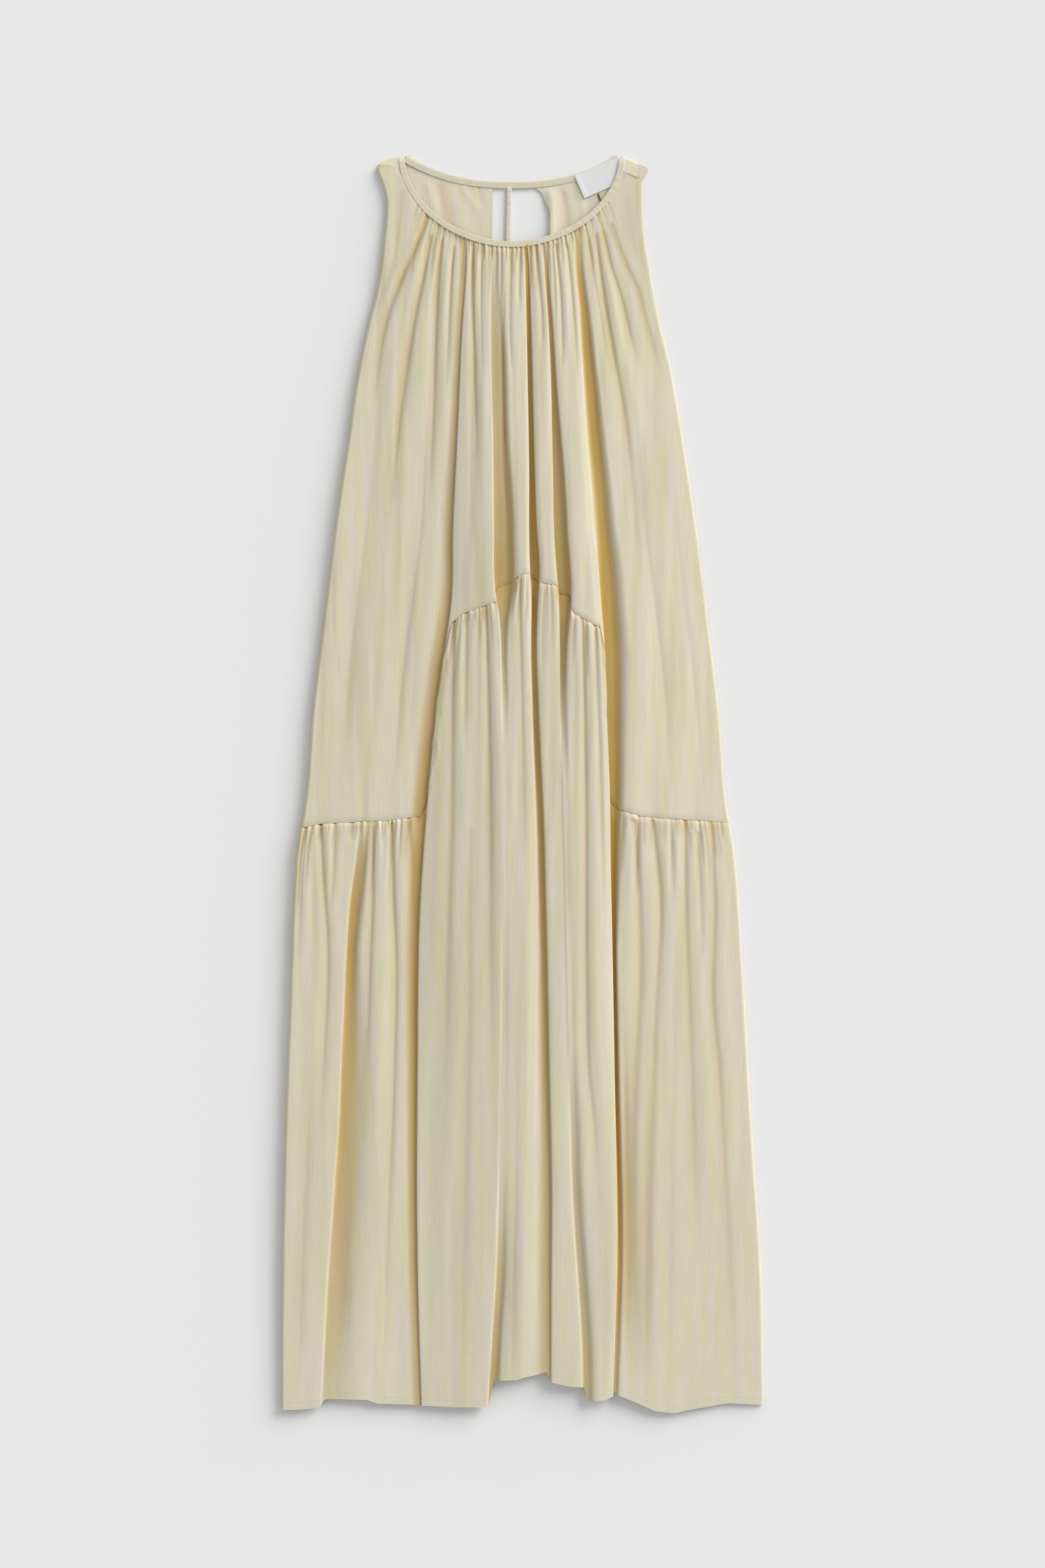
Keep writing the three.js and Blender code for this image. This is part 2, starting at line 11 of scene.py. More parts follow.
import bmesh
import bpy
import numpy as np
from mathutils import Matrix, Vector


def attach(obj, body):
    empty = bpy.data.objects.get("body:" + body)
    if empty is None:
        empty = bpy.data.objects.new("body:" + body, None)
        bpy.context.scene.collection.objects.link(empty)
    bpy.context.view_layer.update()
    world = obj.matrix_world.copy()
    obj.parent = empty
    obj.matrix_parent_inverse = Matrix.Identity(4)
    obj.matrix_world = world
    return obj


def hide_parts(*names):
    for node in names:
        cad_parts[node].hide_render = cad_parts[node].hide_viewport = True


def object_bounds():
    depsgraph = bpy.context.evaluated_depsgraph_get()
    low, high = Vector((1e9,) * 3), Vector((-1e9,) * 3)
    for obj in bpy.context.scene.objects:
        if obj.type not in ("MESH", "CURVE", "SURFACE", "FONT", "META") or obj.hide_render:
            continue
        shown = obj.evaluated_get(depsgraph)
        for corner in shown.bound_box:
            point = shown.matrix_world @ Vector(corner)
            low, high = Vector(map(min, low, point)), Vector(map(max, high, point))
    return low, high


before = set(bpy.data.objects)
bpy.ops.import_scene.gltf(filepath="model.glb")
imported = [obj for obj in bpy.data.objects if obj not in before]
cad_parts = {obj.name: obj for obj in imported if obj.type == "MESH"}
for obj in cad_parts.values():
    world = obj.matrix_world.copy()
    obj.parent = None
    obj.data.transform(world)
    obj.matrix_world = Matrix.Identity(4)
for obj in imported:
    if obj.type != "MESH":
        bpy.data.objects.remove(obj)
solid_low, solid_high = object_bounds()
MM = 0.001
HALF_LENGTH = (solid_high[1] - solid_low[1]) / 2 / MM
print("solid dress, mm:", [round((high - low) / MM, 1) for low, high in zip(solid_low, solid_high)])

# %% [markdown]
# ## The camera, the floor and the light
# The dress lies face up, so the camera hangs straight above it. A long lens far away keeps the hem and the
# neck at one scale. One large soft lamp, low at the upper right, draws the folds, and the pale surroundings
# fill the shadows. A flat lay can also be lit from two equal sides, but then the folds nearly vanish.

# %% Camera
def in_scene(name, data):
    """An object of this data, linked to the scene."""
    made = bpy.data.objects.new(name, data)
    bpy.context.collection.objects.link(made)
    return made


LENS_MM = 85
SENSOR_MM = 36
VIEW_TALL = 1.623

camera_data = bpy.data.cameras.new("overhead")
camera_data.lens = LENS_MM
camera_data.sensor_width = SENSOR_MM
camera = in_scene("overhead", camera_data)
camera.location = (0, 0, VIEW_TALL * LENS_MM / SENSOR_MM)
bpy.context.scene.camera = camera
print("camera height, m:", round(camera.location.z, 2))


# %% Floor and lamps
def plain_material(name, color, roughness):
    """A principled material with one colour."""
    material = bpy.data.materials.new(name)
    material.use_nodes = True
    shader = material.node_tree.nodes["Principled BSDF"]
    shader.inputs["Base Color"].default_value = (*color, 1)
    shader.inputs["Roughness"].default_value = roughness
    return material


def add_window(name, turn, rise, wide, power):
    """Even light from one side: its compass turn, its height above the floor and its width, in degrees."""
    data = bpy.data.lights.new(name, "SUN")
    data.angle = math.radians(wide)
    data.energy = power
    lamp = in_scene(name, data)
    lamp.rotation_euler = (0, math.radians(90 - rise), math.radians(turn))


floor_mesh = bpy.data.meshes.new("floor")
FLOOR_HALF = 6.0
FLOOR_LEVEL = -0.0004
corners = [(-1, -1), (1, -1), (1, 1), (-1, 1)]
floor_mesh.from_pydata(
    [(x * FLOOR_HALF, y * FLOOR_HALF, FLOOR_LEVEL) for x, y in corners], [], [(0, 1, 2, 3)])
floor = in_scene("floor", floor_mesh)
floor.data.materials.append(plain_material("pale_board", (0.86, 0.86, 0.86), 0.9))

add_window("window", turn=42, rise=22, wide=44, power=3.22)
world = bpy.data.worlds.new("pale_room")
world.use_nodes = True
background = world.node_tree.nodes["Background"].inputs
background["Color"].default_value = (1.0, 1.0, 1.0, 1)
background["Strength"].default_value = 0.54
bpy.context.scene.world = world
bpy.context.scene.view_settings.view_transform = "Standard"

# %% [markdown]
# ## How the front lies
# Cloth that is gathered at the neck falls in long folds. A fold that is laid flat is a flap: its top is
# crowned, one edge is rolled over, and next to it is a narrow valley. No simulation
# is run: these are particular folds, so they are drawn as lines down the dress.
#
# "down" is the distance below the top of the shoulders, in millimetres. Each valley has rows of
# (down, left edge of its floor, right edge of its floor, share of the height that it sinks). The same share
# sets how much shade is painted into the valley's cloth.

# %% Long folds of the front
VALLEYS = {
    "side": [(60, -112, -110, 0), (391, -142, -139, 0), (571, -157, -154, 0), (670, -166, -163, 0),
             (694, -168, -165, 0.05), (720, -170, -166, 0.5), (771, -177, -171, 0.9),
             (819, -180.5, -176, 0.95), (874, -183, -179, 0.9), (943, -186, -182, 0.85),
             (1012, -189, -186, 0.78), (1081, -194, -190, 0.68), (1150, -199, -195, 0.55),
             (1219, -203, -200, 0.4), (1300, -207, -204, 0.25)],
    "first": [(80, -61, -59, 0.3), (115, -61.5, -59, 0.42), (184, -66, -63.5, 0.45), (281, -70, -67.5, 0.5),
              (391, -75, -72.5, 0.56), (464, -77, -74, 0.6), (502, -83, -79.5, 0.64), (571, -94, -89, 0.68),
              (678, -105, -99.5, 0.74), (771, -111, -106, 0.78), (943, -113, -109, 0.74),
              (1150, -112.5, -109, 0.6), (1300, -108, -105, 0.5)],
    "second": [(85, -28, -26, 0.05), (143, -32, -26, 0.25), (198, -32, -21, 0.4), (288, -30, -18, 0.5),
               (391, -29, -12, 0.72), (446, -28, -12, 0.8), (481, -23, -17, 0.55), (571, -20, -18, 0.12),
               (874, -20, -18, 0.08), (1081, -24, -21, 0.15), (1157, -26, -22, 0.45),
               (1219, -30, -26, 0.65), (1300, -35, -30, 0.85)],
    "third": [(85, 2, 4, 0.6), (115, 3.5, 6, 0.8), (163, 5, 8, 0.88), (239, 6.5, 10, 0.88),
              (336, 8, 12.5, 0.9), (391, 8, 14.5, 0.92), (426, 9, 17, 0.95), (464, 11, 15, 0.85),
              (502, 10.5, 13.5, 0.65), (571, 12.5, 15.5, 0.65), (698, 18, 21, 0.65), (771, 20, 23, 0.62),
              (943, 23.5, 26.5, 0.56), (1081, 26, 29, 0.5), (1150, 25.5, 28.5, 0.48), (1300, 25, 28, 0.42)],
    "fourth": [(85, 22, 24, 0.35), (115, 23, 25, 0.6), (163, 26.5, 29, 0.66), (239, 30, 34, 0.7),
               (288, 31, 38, 0.68), (336, 32, 42, 0.7), (391, 33, 45, 0.74), (464, 38, 48, 0.8),
               (502, 39, 44, 0.6), (571, 40, 42, 0.3), (612, 41, 43, 0.1), (771, 45, 47, 0.02),
               (943, 49, 51, 0.05), (1012, 51, 53.5, 0.25), (1081, 53.5, 56, 0.38), (1150, 58, 61, 0.4),
               (1219, 62.5, 66, 0.45), (1300, 64, 68, 0.5)],
    "fifth": [(85, 57, 59, 0.6), (115, 57.5, 60, 0.9), (163, 62, 66, 1.05), (198, 64, 70, 1.1),
              (239, 67, 74, 1.1), (288, 71, 77.5, 1.08), (336, 76, 81.5, 1.06), (391, 80.5, 85.5, 1.06),
              (426, 82, 89, 1.06), (464, 83, 91, 1.08), (502, 85, 93, 1.1), (571, 87, 94.5, 1.1),
              (612, 88.5, 95, 1.12), (653, 90, 95.5, 1.15), (736, 91, 94.5, 1.25), (819, 92.6, 94.8, 1.3),
              (943, 95, 96.6, 1.25), (1150, 98, 99.6, 0.9), (1219, 96, 97.8, 0.75), (1300, 93, 95, 0.6)],
}
# How each valley is entered from either side: the reach of its slope at five places down the dress, and how
# far its edge rolls over. A roll of 0.5 is a soft slope, and 2 or more tucks cloth under a rolled edge.
SLOPE_DOWN = (220, 380, 520, 820, 1080)
SLOPES = {
    "side": {"left": ((2.4, 2.4, 2.4, 2.4, 3), (2.2, 2.2, 2.2, 2.0, 1.2)), "right": ((6, 6, 6, 10, 42), 0.5)},
    "first": {"left": ((9, 16, 21, 16, 12), 0.5), "right": ((3, 3, 3, 3, 3), 2.2)},
    "second": {"left": ((2, 2, 2.4, 4, 3), (2.2, 2.2, 1.6, 1.0, 1.1)), "right": ((5, 6, 4, 6, 8), 0.7)},
    "third": {"left": ((2.4, 2.4, 4, 9, 22), (0.9, 0.9, 0.8, 0.6, 0.5)),
              "right": ((2.6, 2.6, 3.4, 3.4, 3.4), (2.2, 2.2, 1.6, 1.6, 1.6))},
    "fourth": {"left": ((2, 2, 2.4, 3, 4), (2.0, 2.0, 2.0, 1.4, 0.9)),
               "right": ((3, 3, 5, 7, 9), (1.2, 1.2, 0.8, 0.6, 0.6))},
    "fifth": {"left": ((6, 11, 2.6, 2.4, 2.4), (0.6, 0.6, 2.4, 3.0, 2.4)),
              "right": ((5, 12, 18, 3.5, 5), 0.5)},
}
SIDES = {
    "left": [(0, -122), (3, -135), (6, -143.5), (11.6, -151), (17, -150.2), (24, -147.3), (32, -144.4),
             (40, -142.2), (56, -141.1), (71.5, -142.2), (89, -144), (118, -147.2), (147, -152.5),
             (180, -161), (211, -167.5), (253, -175), (281, -178.5), (336, -187), (391, -195), (464, -204),
             (571, -217), (678, -226.5), (716, -233), (771, -237), (874, -241), (1012, -246), (1150, -249),
             (1300, -250)],
    "right": [(0, 100), (5, 110), (8.2, 120.4), (13.3, 130.4), (17, 129), (24, 125.3), (40, 124.4),
              (63, 124.9), (85, 126.6), (107, 130.4), (140, 136), (174, 142.6), (196, 148.2), (213, 152.5),
              (248, 159), (288, 165.5), (336, 173), (391, 181), (464, 190), (571, 203), (678, 212.5),
              (716, 219), (771, 224), (874, 230), (1012, 238), (1150, 247), (1300, 250)],
}
# Heights of the flaps, by how far down: the sides are low, and the middle is where the cloth bunches.
HEIGHT_DOWN = (0, 46, 90, 115, 184, 281, 391, 481, 571, 678, 771, 943, 1150, 1300)
HEIGHTS = {
    "edge": (3.6, 4.6, 5.6, 6.2, 7, 7.6, 8, 8, 8, 8, 8.4, 8.4, 8.2, 7),
    "side": (3.8, 5, 6.4, 7.4, 9, 10.4, 11, 11.4, 11.6, 11.6, 11.4, 11.4, 10.6, 8.8),
    "first": (4, 5.2, 7, 8.8, 11.8, 14, 15, 15.4, 15.4, 15, 14.4, 13.8, 12, 10),
    "middle": (4, 5, 7.5, 9, 13, 16.5, 19, 20, 20, 20, 20, 19, 16, 12),
    "fifth": (4, 5, 6.5, 8, 11, 13.5, 15, 16, 16, 16, 15.5, 15, 13, 10.5),
}
FLOOR_LEVEL_MM = 3.7
SINK = 0.66  # the part of the height that a valley can lose, because more cloth lies under it

# %% [markdown]
# Between two valleys the cloth is nearly level, and only its edges turn down. Each span below has a height at
# its left and at its right end, as a share of a row of the table, and the share lost where the edges turn.

# %% Spans between the valleys
ORDER = ["side", "first", "second", "third", "fourth", "fifth"]
SPANS = [  # height at the left end, height at the right end, share lost at each edge
    (("edge", 1.34), ("side", 1.0), 0.0),
    (("side", 1.0), ("first", 0.72), 0.03),
    (("first", 0.86), ("middle", 0.97), 0.08),
    (("middle", 0.98), ("middle", 0.99), 0.08),
    (("middle", 0.93), ("middle", 0.93), 0.07),
    (("middle", 0.98), ("middle", 0.92), 0.08),
    (("fifth", 0.88), ("edge", 0.52), 0.0),
]
# How strongly the depth of each valley paints shade, a darker and warmer colour, into its cloth.
VALLEY_SHADE_GAIN = {"side": 1.0, "first": 1.2, "second": 1.0, "third": 1.35, "fourth": 1.1, "fifth": 1.0}
PARTS_PER_VALLEY = 4  # left slope, floor, right slope, then the next span
LAST_Q = 1 + PARTS_PER_VALLEY * len(ORDER)


def curve_through(rows, column, where):
    """A smooth curve through one column of a table whose first column is the distance down."""
    xs = np.array([row[0] for row in rows], float)
    ys = np.array([row[column] for row in rows], float)
    slopes = np.gradient(ys, xs)
    i = np.clip(np.searchsorted(xs, where, side="right") - 1, 0, len(xs) - 2)
    h = xs[i + 1] - xs[i]
    t = np.clip((where - xs[i]) / h, 0, 1)
    bend = t * (1 - t) * h * (slopes[i] * (1 - t) - slopes[i + 1] * t)
    return ys[i] + (ys[i + 1] - ys[i]) * t * t * (3 - 2 * t) + bend


SAMPLE_DOWN = np.arange(0, 1321, 2.0)
LINES = {side: curve_through(rows, 1, SAMPLE_DOWN) for side, rows in SIDES.items()}
for name in ORDER:
    for column, what in enumerate(("left", "right", "deep"), start=1):
        LINES[name, what] = curve_through(VALLEYS[name], column, SAMPLE_DOWN)
    LINES[name, "deep"] = np.clip(LINES[name, "deep"], 0, 1.3)
for name, heights in HEIGHTS.items():
    LINES["height", name] = curve_through(list(zip(HEIGHT_DOWN, heights)), 1, SAMPLE_DOWN)


def line(key, down):
    """Where a named line is, this far down."""
    return np.interp(down, SAMPLE_DOWN, LINES[key])


def ease(t):
    t = np.clip(t, 0, 1)
    return t * t * (3 - 2 * t)


print("lines down the front:", len(LINES), "- place across runs from 0 to", LAST_Q)

# %% [markdown]
# ## A place across the front
# "q" counts across the dress: each span, slope and floor is one unit of q. A slope is a Bezier curve whose
# handles are as long as its roll says. Long handles push the curve out past itself, so that the edge of the
# flap bulges over the valley and the cloth below it is tucked back, as a pressed fold is.


# %% From a place across and down to a point
def slope_curve(t, reach, roll, deep):
    """How far across (mm) and how high (share) a slope is at t, from its crest at 0 to the floor at 1."""
    handle = reach * (0.5 + (roll - 0.5) * ease((deep - 0.15) / 0.5))
    across = 3 * (1 - t) ** 2 * t * handle + 3 * (1 - t) * t * t * (reach - 0.75 * handle) + t**3 * reach
    return across, (1 - t) ** 2 * (1 + 2 * t)


def reach_of(name, side, down):
    """How wide a slope is, this far down."""
    return np.interp(down, SLOPE_DOWN, SLOPES[name][side][0])


def roll_of(name, side, down):
    """How far a slope's edge rolls over, this far down."""
    return np.interp(down, SLOPE_DOWN, SLOPES[name][side][1] + np.zeros(len(SLOPE_DOWN)))


def span_ends(k, down):
    """Left and right x of span k."""
    before, after = ORDER[k - 1] if k else "left", ORDER[k] if k < len(ORDER) else "right"
    left = line((before, "right"), down) + reach_of(before, "right", down) if k else line("left", down)
    right = (line("right", down) if k == len(ORDER)
             else line((after, "left"), down) - reach_of(after, "left", down))
    return left, right


def span_height(k, t, down):
    """Height of span k at its share t across."""
    (left, left_share), (right, right_share), lost = SPANS[k]
    left_height = line(("height", left), down) * left_share
    right_height = line(("height", right), down) * right_share
    crest = left_height + (right_height - left_height) * t
    beside = ORDER[max(k - 1, 0)], ORDER[min(k, len(ORDER) - 1)]
    deep = np.where(t < 0.5, line((beside[0], "deep"), down), line((beside[1], "deep"), down))
    return FLOOR_LEVEL_MM + (crest - FLOOR_LEVEL_MM) * (1 - lost * deep * (2 * t - 1) ** 4)


def valley_floor(k, down):
    """Height of the floor of valley k."""
    sunk = line((ORDER[k], "deep"), down)
    beside = (span_height(k, np.ones_like(down), down) + span_height(k + 1, np.zeros_like(down), down)) / 2
    return FLOOR_LEVEL_MM + (beside - FLOOR_LEVEL_MM) * (1 - SINK * sunk)


def laid_point(q, down):
    """x, height and share of painted valley shade of the folded cloth, without its creases, for arrays of one
    shape.
    """
    x = np.zeros_like(down)
    z = np.zeros_like(down)
    valley_shade = np.zeros_like(down)
    unit = np.clip(np.floor(q).astype(int), 0, LAST_Q - 1)
    for u in range(LAST_Q):
        here = unit == u
        if not here.any():
            continue
        t = q[here] - u
        d = down[here]
        k, part = divmod(u, PARTS_PER_VALLEY)
        if part == 0:
            left, right = span_ends(k, d)
            x[here] = left + (right - left) * t
            z[here] = span_height(k, t, d)
            continue
        name = ORDER[k]
        floor_z = valley_floor(k, d)
        sunk = line((name, "deep"), d)
        high = np.zeros_like(d)
        roll = roll_of(name, "left" if part == 1 else "right", d)
        if part == 1:
            reach = reach_of(name, "left", d)
            across, high = slope_curve(t, reach, roll, sunk)
            x[here] = line((name, "left"), d) - reach + across
            z[here] = floor_z + (span_height(k, np.ones_like(d), d) - floor_z) * high
        elif part == 2:
            left, right = line((name, "left"), d), line((name, "right"), d)
            x[here] = left + (right - left) * t
            z[here] = floor_z
        else:
            reach = reach_of(name, "right", d)
            across, high = slope_curve(1 - t, reach, roll, sunk)
            x[here] = line((name, "right"), d) + reach - across
            z[here] = floor_z + (span_height(k + 1, np.zeros_like(d), d) - floor_z) * high
        # painted shade: the deeper the valley and the lower the point on its slope, the darker and warmer the
        # colour
        valley_shade[here] = VALLEY_SHADE_GAIN[name] * sunk * (1 - high) ** np.where(roll < 1, 1.5, 0.8)
    return x, z, valley_shade


# %% [markdown]
# ## The outlines
# The neck is a slightly squared ellipse, and the tier seam and the hem are tables of how far down they lie
# at a place across. The seam climbs by a hand's length under the first and the fifth fold: that is why the
# middle of the tier shows as an arch.

# %% Neck, tier seam and hem
NECK = {"x": -11.0, "half": 114.0, "deep": 91.0, "power": 1.9}
BINDING_HALF = 3.1
BINDING_LAP = 2.2  # the panels' edges lie this far from the middle of the binding, under its edge
SEAM = [  # place across (unit of q), down
    (0, 695.5), (0.35, 691), (1, 689), (4.4, 688), (5, 685.5), (5.6, 684), (6, 684), (7, 670), (7.5, 600),
    (8, 484), (8.25, 474), (8.6, 468), (9, 462.5), (9.7, 458), (10, 448), (11, 442), (12, 437), (12.4, 434),
    (13, 433), (14, 436), (15, 441), (16, 442.5), (17, 445), (18, 453), (19, 455), (20, 473), (20.4, 479),
    (20.8, 486), (21, 488), (21.5, 580), (22, 668), (23, 674), (24, 678), (24.15, 683), (24.45, 686),
    (24.8, 688.5), (25, 690),
]
HEM = [
    (0, 1296.5), (0.5, 1296), (1, 1294), (2, 1288), (3, 1285), (4, 1286), (4.3, 1290), (5, 1291), (6, 1291.5),
    (7, 1292), (8, 1292), (8.5, 1293.5), (9, 1293), (9.6, 1292), (10, 1288), (10.6, 1268), (11, 1266.5),
    (12, 1265.5), (12.6, 1265), (13, 1262), (14, 1257), (15, 1264), (16, 1268), (16.6, 1272), (17, 1272.5),
    (18, 1273), (18.5, 1280), (19, 1286), (20, 1287), (20.6, 1286), (21, 1283), (22, 1279), (23, 1278.5),
    (24, 1282), (24.1, 1288), (24.25, 1298), (24.38, 1300), (24.55, 1295), (24.75, 1290), (25, 1292),
]
# The back comes over the shoulders to the front. Rows are (x, down), from the left tip to the right one.
SHOULDER_FOLD = [(-152, 13.2), (-148, 8.6), (-143.5, 5.5), (-135, 2.5), (-124, 0.2), (102, 0.2), (107, 2.6),
                 (118, 7.4), (129, 11.8), (133, 13.4)]
SHOULDER_SEAM = [(-152, 14.6), (-146, 9.6), (-140, 9.4), (-134, 11), (-127, 15.4), (-123, 18.4), (101, 14),
                 (108, 18), (118.7, 22.6), (127, 24.4), (133, 25)]


def read(rows, where):
    """The second column of a table at a value of its first."""
    return np.interp(where, *np.array(rows, float).T)


def neck_curve(x, grow=0.0):
    """How far down the front neck curve is at x, grown outwards by some millimetres."""
    t = np.clip(np.abs(x - NECK["x"]) / (NECK["half"] + grow), 0, 1)
    return (NECK["deep"] + grow) * (1 - t ** NECK["power"]) ** (1 / NECK["power"])


def front_top(x):
    seam = read(SHOULDER_SEAM, x)
    inside = np.abs(x - NECK["x"]) < NECK["half"] + BINDING_LAP
    return np.where(inside, np.maximum(neck_curve(x, BINDING_LAP), seam), seam)


def crossing(x_of, outline, deepest=150.0):
    """How far down each column first passes the outline, by halving."""
    low = np.zeros_like(x_of(0.0))
    high = low + deepest
    for _ in range(36):
        middle = (low + high) / 2
        past = middle > outline(x_of(middle))
        high = np.where(past, middle, high)
        low = np.where(past, low, middle)
    return high


def flat_x(q, down):
    """x of a place across as if no edge were rolled over."""
    edges = [line("left", down)]
    for name in ORDER:
        edges += [line((name, "left"), down) - reach_of(name, "left", down), line((name, "left"), down)]
        edges += [line((name, "right"), down), line((name, "right"), down) + reach_of(name, "right", down)]
    edges.append(line("right", down))
    unit = np.clip(np.floor(q).astype(int), 0, LAST_Q - 1)
    stack = np.array(edges)
    columns = np.arange(len(q))
    return stack[unit, columns] + (stack[unit + 1, columns] - stack[unit, columns]) * (q - unit)


def seam_down(q):
    return read(SEAM, q)


def hem_down(q):
    return read(HEM, q)


def top_down(q):
    return crossing(lambda down: flat_x(q, np.zeros_like(q) + down), front_top)


# %% [markdown]
# ## Creases and gathers
# A crease is a soft trough along its own line. The long ones are in a table: a list of (down, x) points,
# the half width at the top and the bottom, and two or more depths at even steps down it. The small gathers
# at the neck and below the tier seam are too many to list. They get a fixed seed and random gaps, lengths
# and depths instead, because evenly spaced gathers look like a machine pleat.

# %% Long creases
# Rows are points, half widths and depths; one that starts in mid cloth begins with a depth of 0.
CREASES = [
    ([(56, -95.5), (76, -101.5), (101, -112.5), (136, -128), (163, -138), (239, -152), (281, -158)],
     (3.6, 9), (7.0, 5.4, 2.4, 1.6)),
    ([(84, -94.5), (115, -100), (163, -110), (239, -122), (336, -134.5), (426, -145)],
     (3.6, 13), (5.6, 4.4, 2.4, 1.6)),
    ([(88, -83), (136, -87), (198, -90), (288, -93), (391, -100)], (3, 9), (5.0, 3.6, 2.0)),
    ([(95, -71), (140, -74), (200, -77), (260, -80)], (2.5, 6), (4.2, 1.6)),
    ([(92, -51), (163, -51), (198, -50), (288, -48), (350, -47)], (2.5, 7), (4.6, 2.8)),
    ([(92, -41), (140, -43), (200, -42), (250, -40)], (2.2, 5), (2.6, 1.4)),
    ([(130, -18), (163, -19.5), (239, -19), (288, -18), (336, -16.5), (391, -13.5), (430, -13.5), (470, -18)],
     (2.5, 3.5), (0.0, 4.4, 4.4, 4.0, 4.0)),
    ([(92, -11), (136, -12.5), (198, -12.5), (240, -9)], (2.5, 4), (3.0, 1.6)),
    ([(92, -2), (130, -3), (170, -3)], (2.0, 3), (2.4, 1.2)),
    ([(93, 14), (136, 18), (170, 20.5), (215, 20)], (2.2, 3.2), (3.4, 2.0)),
    ([(93, 35), (136, 39), (198, 41.5), (235, 41)], (2.2, 3.5), (3.6, 2.2)),
    ([(92, 46), (130, 50), (180, 54), (240, 57)], (2.5, 4), (3.0, 1.6)),
    ([(88, 68), (120, 73), (163, 80), (230, 90)], (2.5, 6), (2.4, 1.0)),
    ([(82, 76.5), (136, 83), (198, 93), (281, 107), (391, 117), (480, 122)],
     (3.2, 14), (5.6, 4.0, 2.2, 1.6)),
    ([(78, 84), (115, 92), (136, 99), (175, 109), (230, 121)], (2.8, 8), (5.4, 3.6, 1.6)),
    ([(70, 93), (115, 109), (136, 119), (163, 126), (200, 136), (245, 147)], (2.8, 8), (6.0, 4.0, 1.6)),
    ([(38, -124), (70, -128), (110, -134), (160, -150)], (6, 10), (1.8, 1.8, 1.2)),
    ([(44, 108), (80, 114), (120, 122)], (5, 8), (1.4, 1.0)),
    ([(250, 140), (350, 150), (480, 160), (640, 168)], (16, 20), (0.0, 0.9, 1.0)),
    ([(300, -160), (420, -172), (560, -185), (680, -192)], (14, 20), (0.0, 0.9, 1.0)),
    ([(240, -105), (400, -112), (560, -128), (690, -140)], (9, 16), (0.0, 1.0, 1.0)),
    # the tier, left
    ([(690, -222), (736, -227), (771, -229), (850, -233)], (3, 5), (2.2, 0.8)),
    ([(690, -208), (736, -206), (819, -201), (930, -205), (1040, -212)], (3.2, 9), (3.6, 1.4)),
    ([(690, -193), (736, -195), (790, -198)], (3, 4), (2.6, 1.2)),
    ([(690, -155), (771, -155), (819, -157), (960, -162), (1100, -170)], (4, 12), (3.8, 1.6)),
    ([(690, -134.5), (771, -133), (819, -131), (950, -133), (1120, -140), (1290, -146)],
     (4, 14), (3.6, 1.6)),
    ([(690, -118), (736, -114), (790, -113)], (3.5, 4), (3.0, 2.0)),
    ([(900, -215), (1050, -224), (1290, -232)], (9, 12), (0.0, 1.6, 2.2)),
    ([(900, -188), (1080, -186), (1200, -184), (1290, -186)], (9, 13), (0.0, 2.6, 2.8, 1.6)),
    # the tier, middle
    ([(476, -70), (560, -72), (667, -73), (850, -78), (1050, -82)], (3.2, 13), (4.2, 2.6, 1.2)),
    ([(472, -57), (520, -58), (620, -60)], (2.8, 6), (3.0, 1.0)),
    ([(466, -37), (560, -35), (667, -33), (850, -33), (1010, -30)], (3.0, 11), (4.5, 2.8, 1.4)),
    ([(700, -55), (900, -56), (1100, -60), (1290, -64)], (8, 12), (1.0, 1.8)),
    ([(437, -3), (500, -2), (600, 0), (760, 2)], (2.6, 9), (2.6, 1.2)),
    ([(500, 7), (667, 11), (850, 15), (1000, 16)], (4, 8), (0.0, 2.0, 2.4)),
    ([(900, -6), (1100, -8), (1262, -12)], (8, 10), (0.0, 1.6, 2.6)),
    ([(480, 62), (560, 64), (667, 65.5), (850, 66), (943, 68), (1012, 74.5), (1110, 78)],
     (3.2, 7), (4.5, 3.0, 3.0)),
    ([(486, 75), (560, 78), (700, 82), (800, 84)], (3, 4), (3.0, 1.4)),
    # the tier, right
    ([(688, 116), (771, 121), (874, 121), (943, 117), (1012, 114), (1200, 113), (1290, 112)], (4, 17),
     (3.6, 3.0, 3.4, 4.0)),
    ([(860, 104), (960, 106), (1100, 108), (1290, 108)], (5, 9), (0.0, 3.0, 3.4, 3.0)),
    ([(940, 130), (1080, 128), (1290, 127)], (9, 14), (0.0, 2.2, 2.6)),
    ([(688, 135), (771, 143), (874, 138), (1012, 133), (1250, 130)], (4, 13), (3.6, 1.4)),
    ([(688, 168), (771, 169), (874, 172), (1000, 176), (1150, 178)], (4, 14), (3.4, 1.2)),
    ([(690, 195), (771, 199), (874, 197), (943, 203), (1012, 207), (1150, 214), (1290, 220)],
     (4, 14), (3.4, 2.0)),
    ([(820, 155), (950, 155), (1100, 152), (1290, 150)], (9, 16), (0.0, 1.2, 1.8)),
    ([(700, 181), (760, 184), (850, 186)], (3.5, 7), (2.6, 0.8)),
]

# %% Broad swells, too gentle to look like creases
SWELLS = [
    ([(230, -147), (391, -163), (520, -178), (690, -190)], (15, 20), (0.0, 1.6, 1.6)),
    ([(215, -97), (391, -106), (520, -122), (690, -137)], (7, 12), (0.0, 1.2, 1.2)),
    ([(230, 113), (391, 127), (520, 143), (690, 155)], (9, 14), (0.0, 1.0, 1.0)),
    ([(300, 150), (450, 166), (600, 182), (690, 188)], (9, 12), (0.0, 0.8, 0.8)),
    ([(120, -40), (250, -52), (400, -55), (470, -58)], (7, 9), (0.0, 0.7, 0.5)),
]

# %% Small gathers, from a fixed seed
GATHER = np.random.default_rng(11)
NECK_GATHERS = {"from": -106.0, "to": 88.0, "gap": (3.6, 6.8), "length": (22, 105), "half": (1.2, 2.1),
                "depth": (2.0, 4.4)}
TIER_GATHERS = {"gap": (4.2, 9.5), "length": (12, 120), "half": (1.5, 3.2), "depth": (2.0, 4.2)}


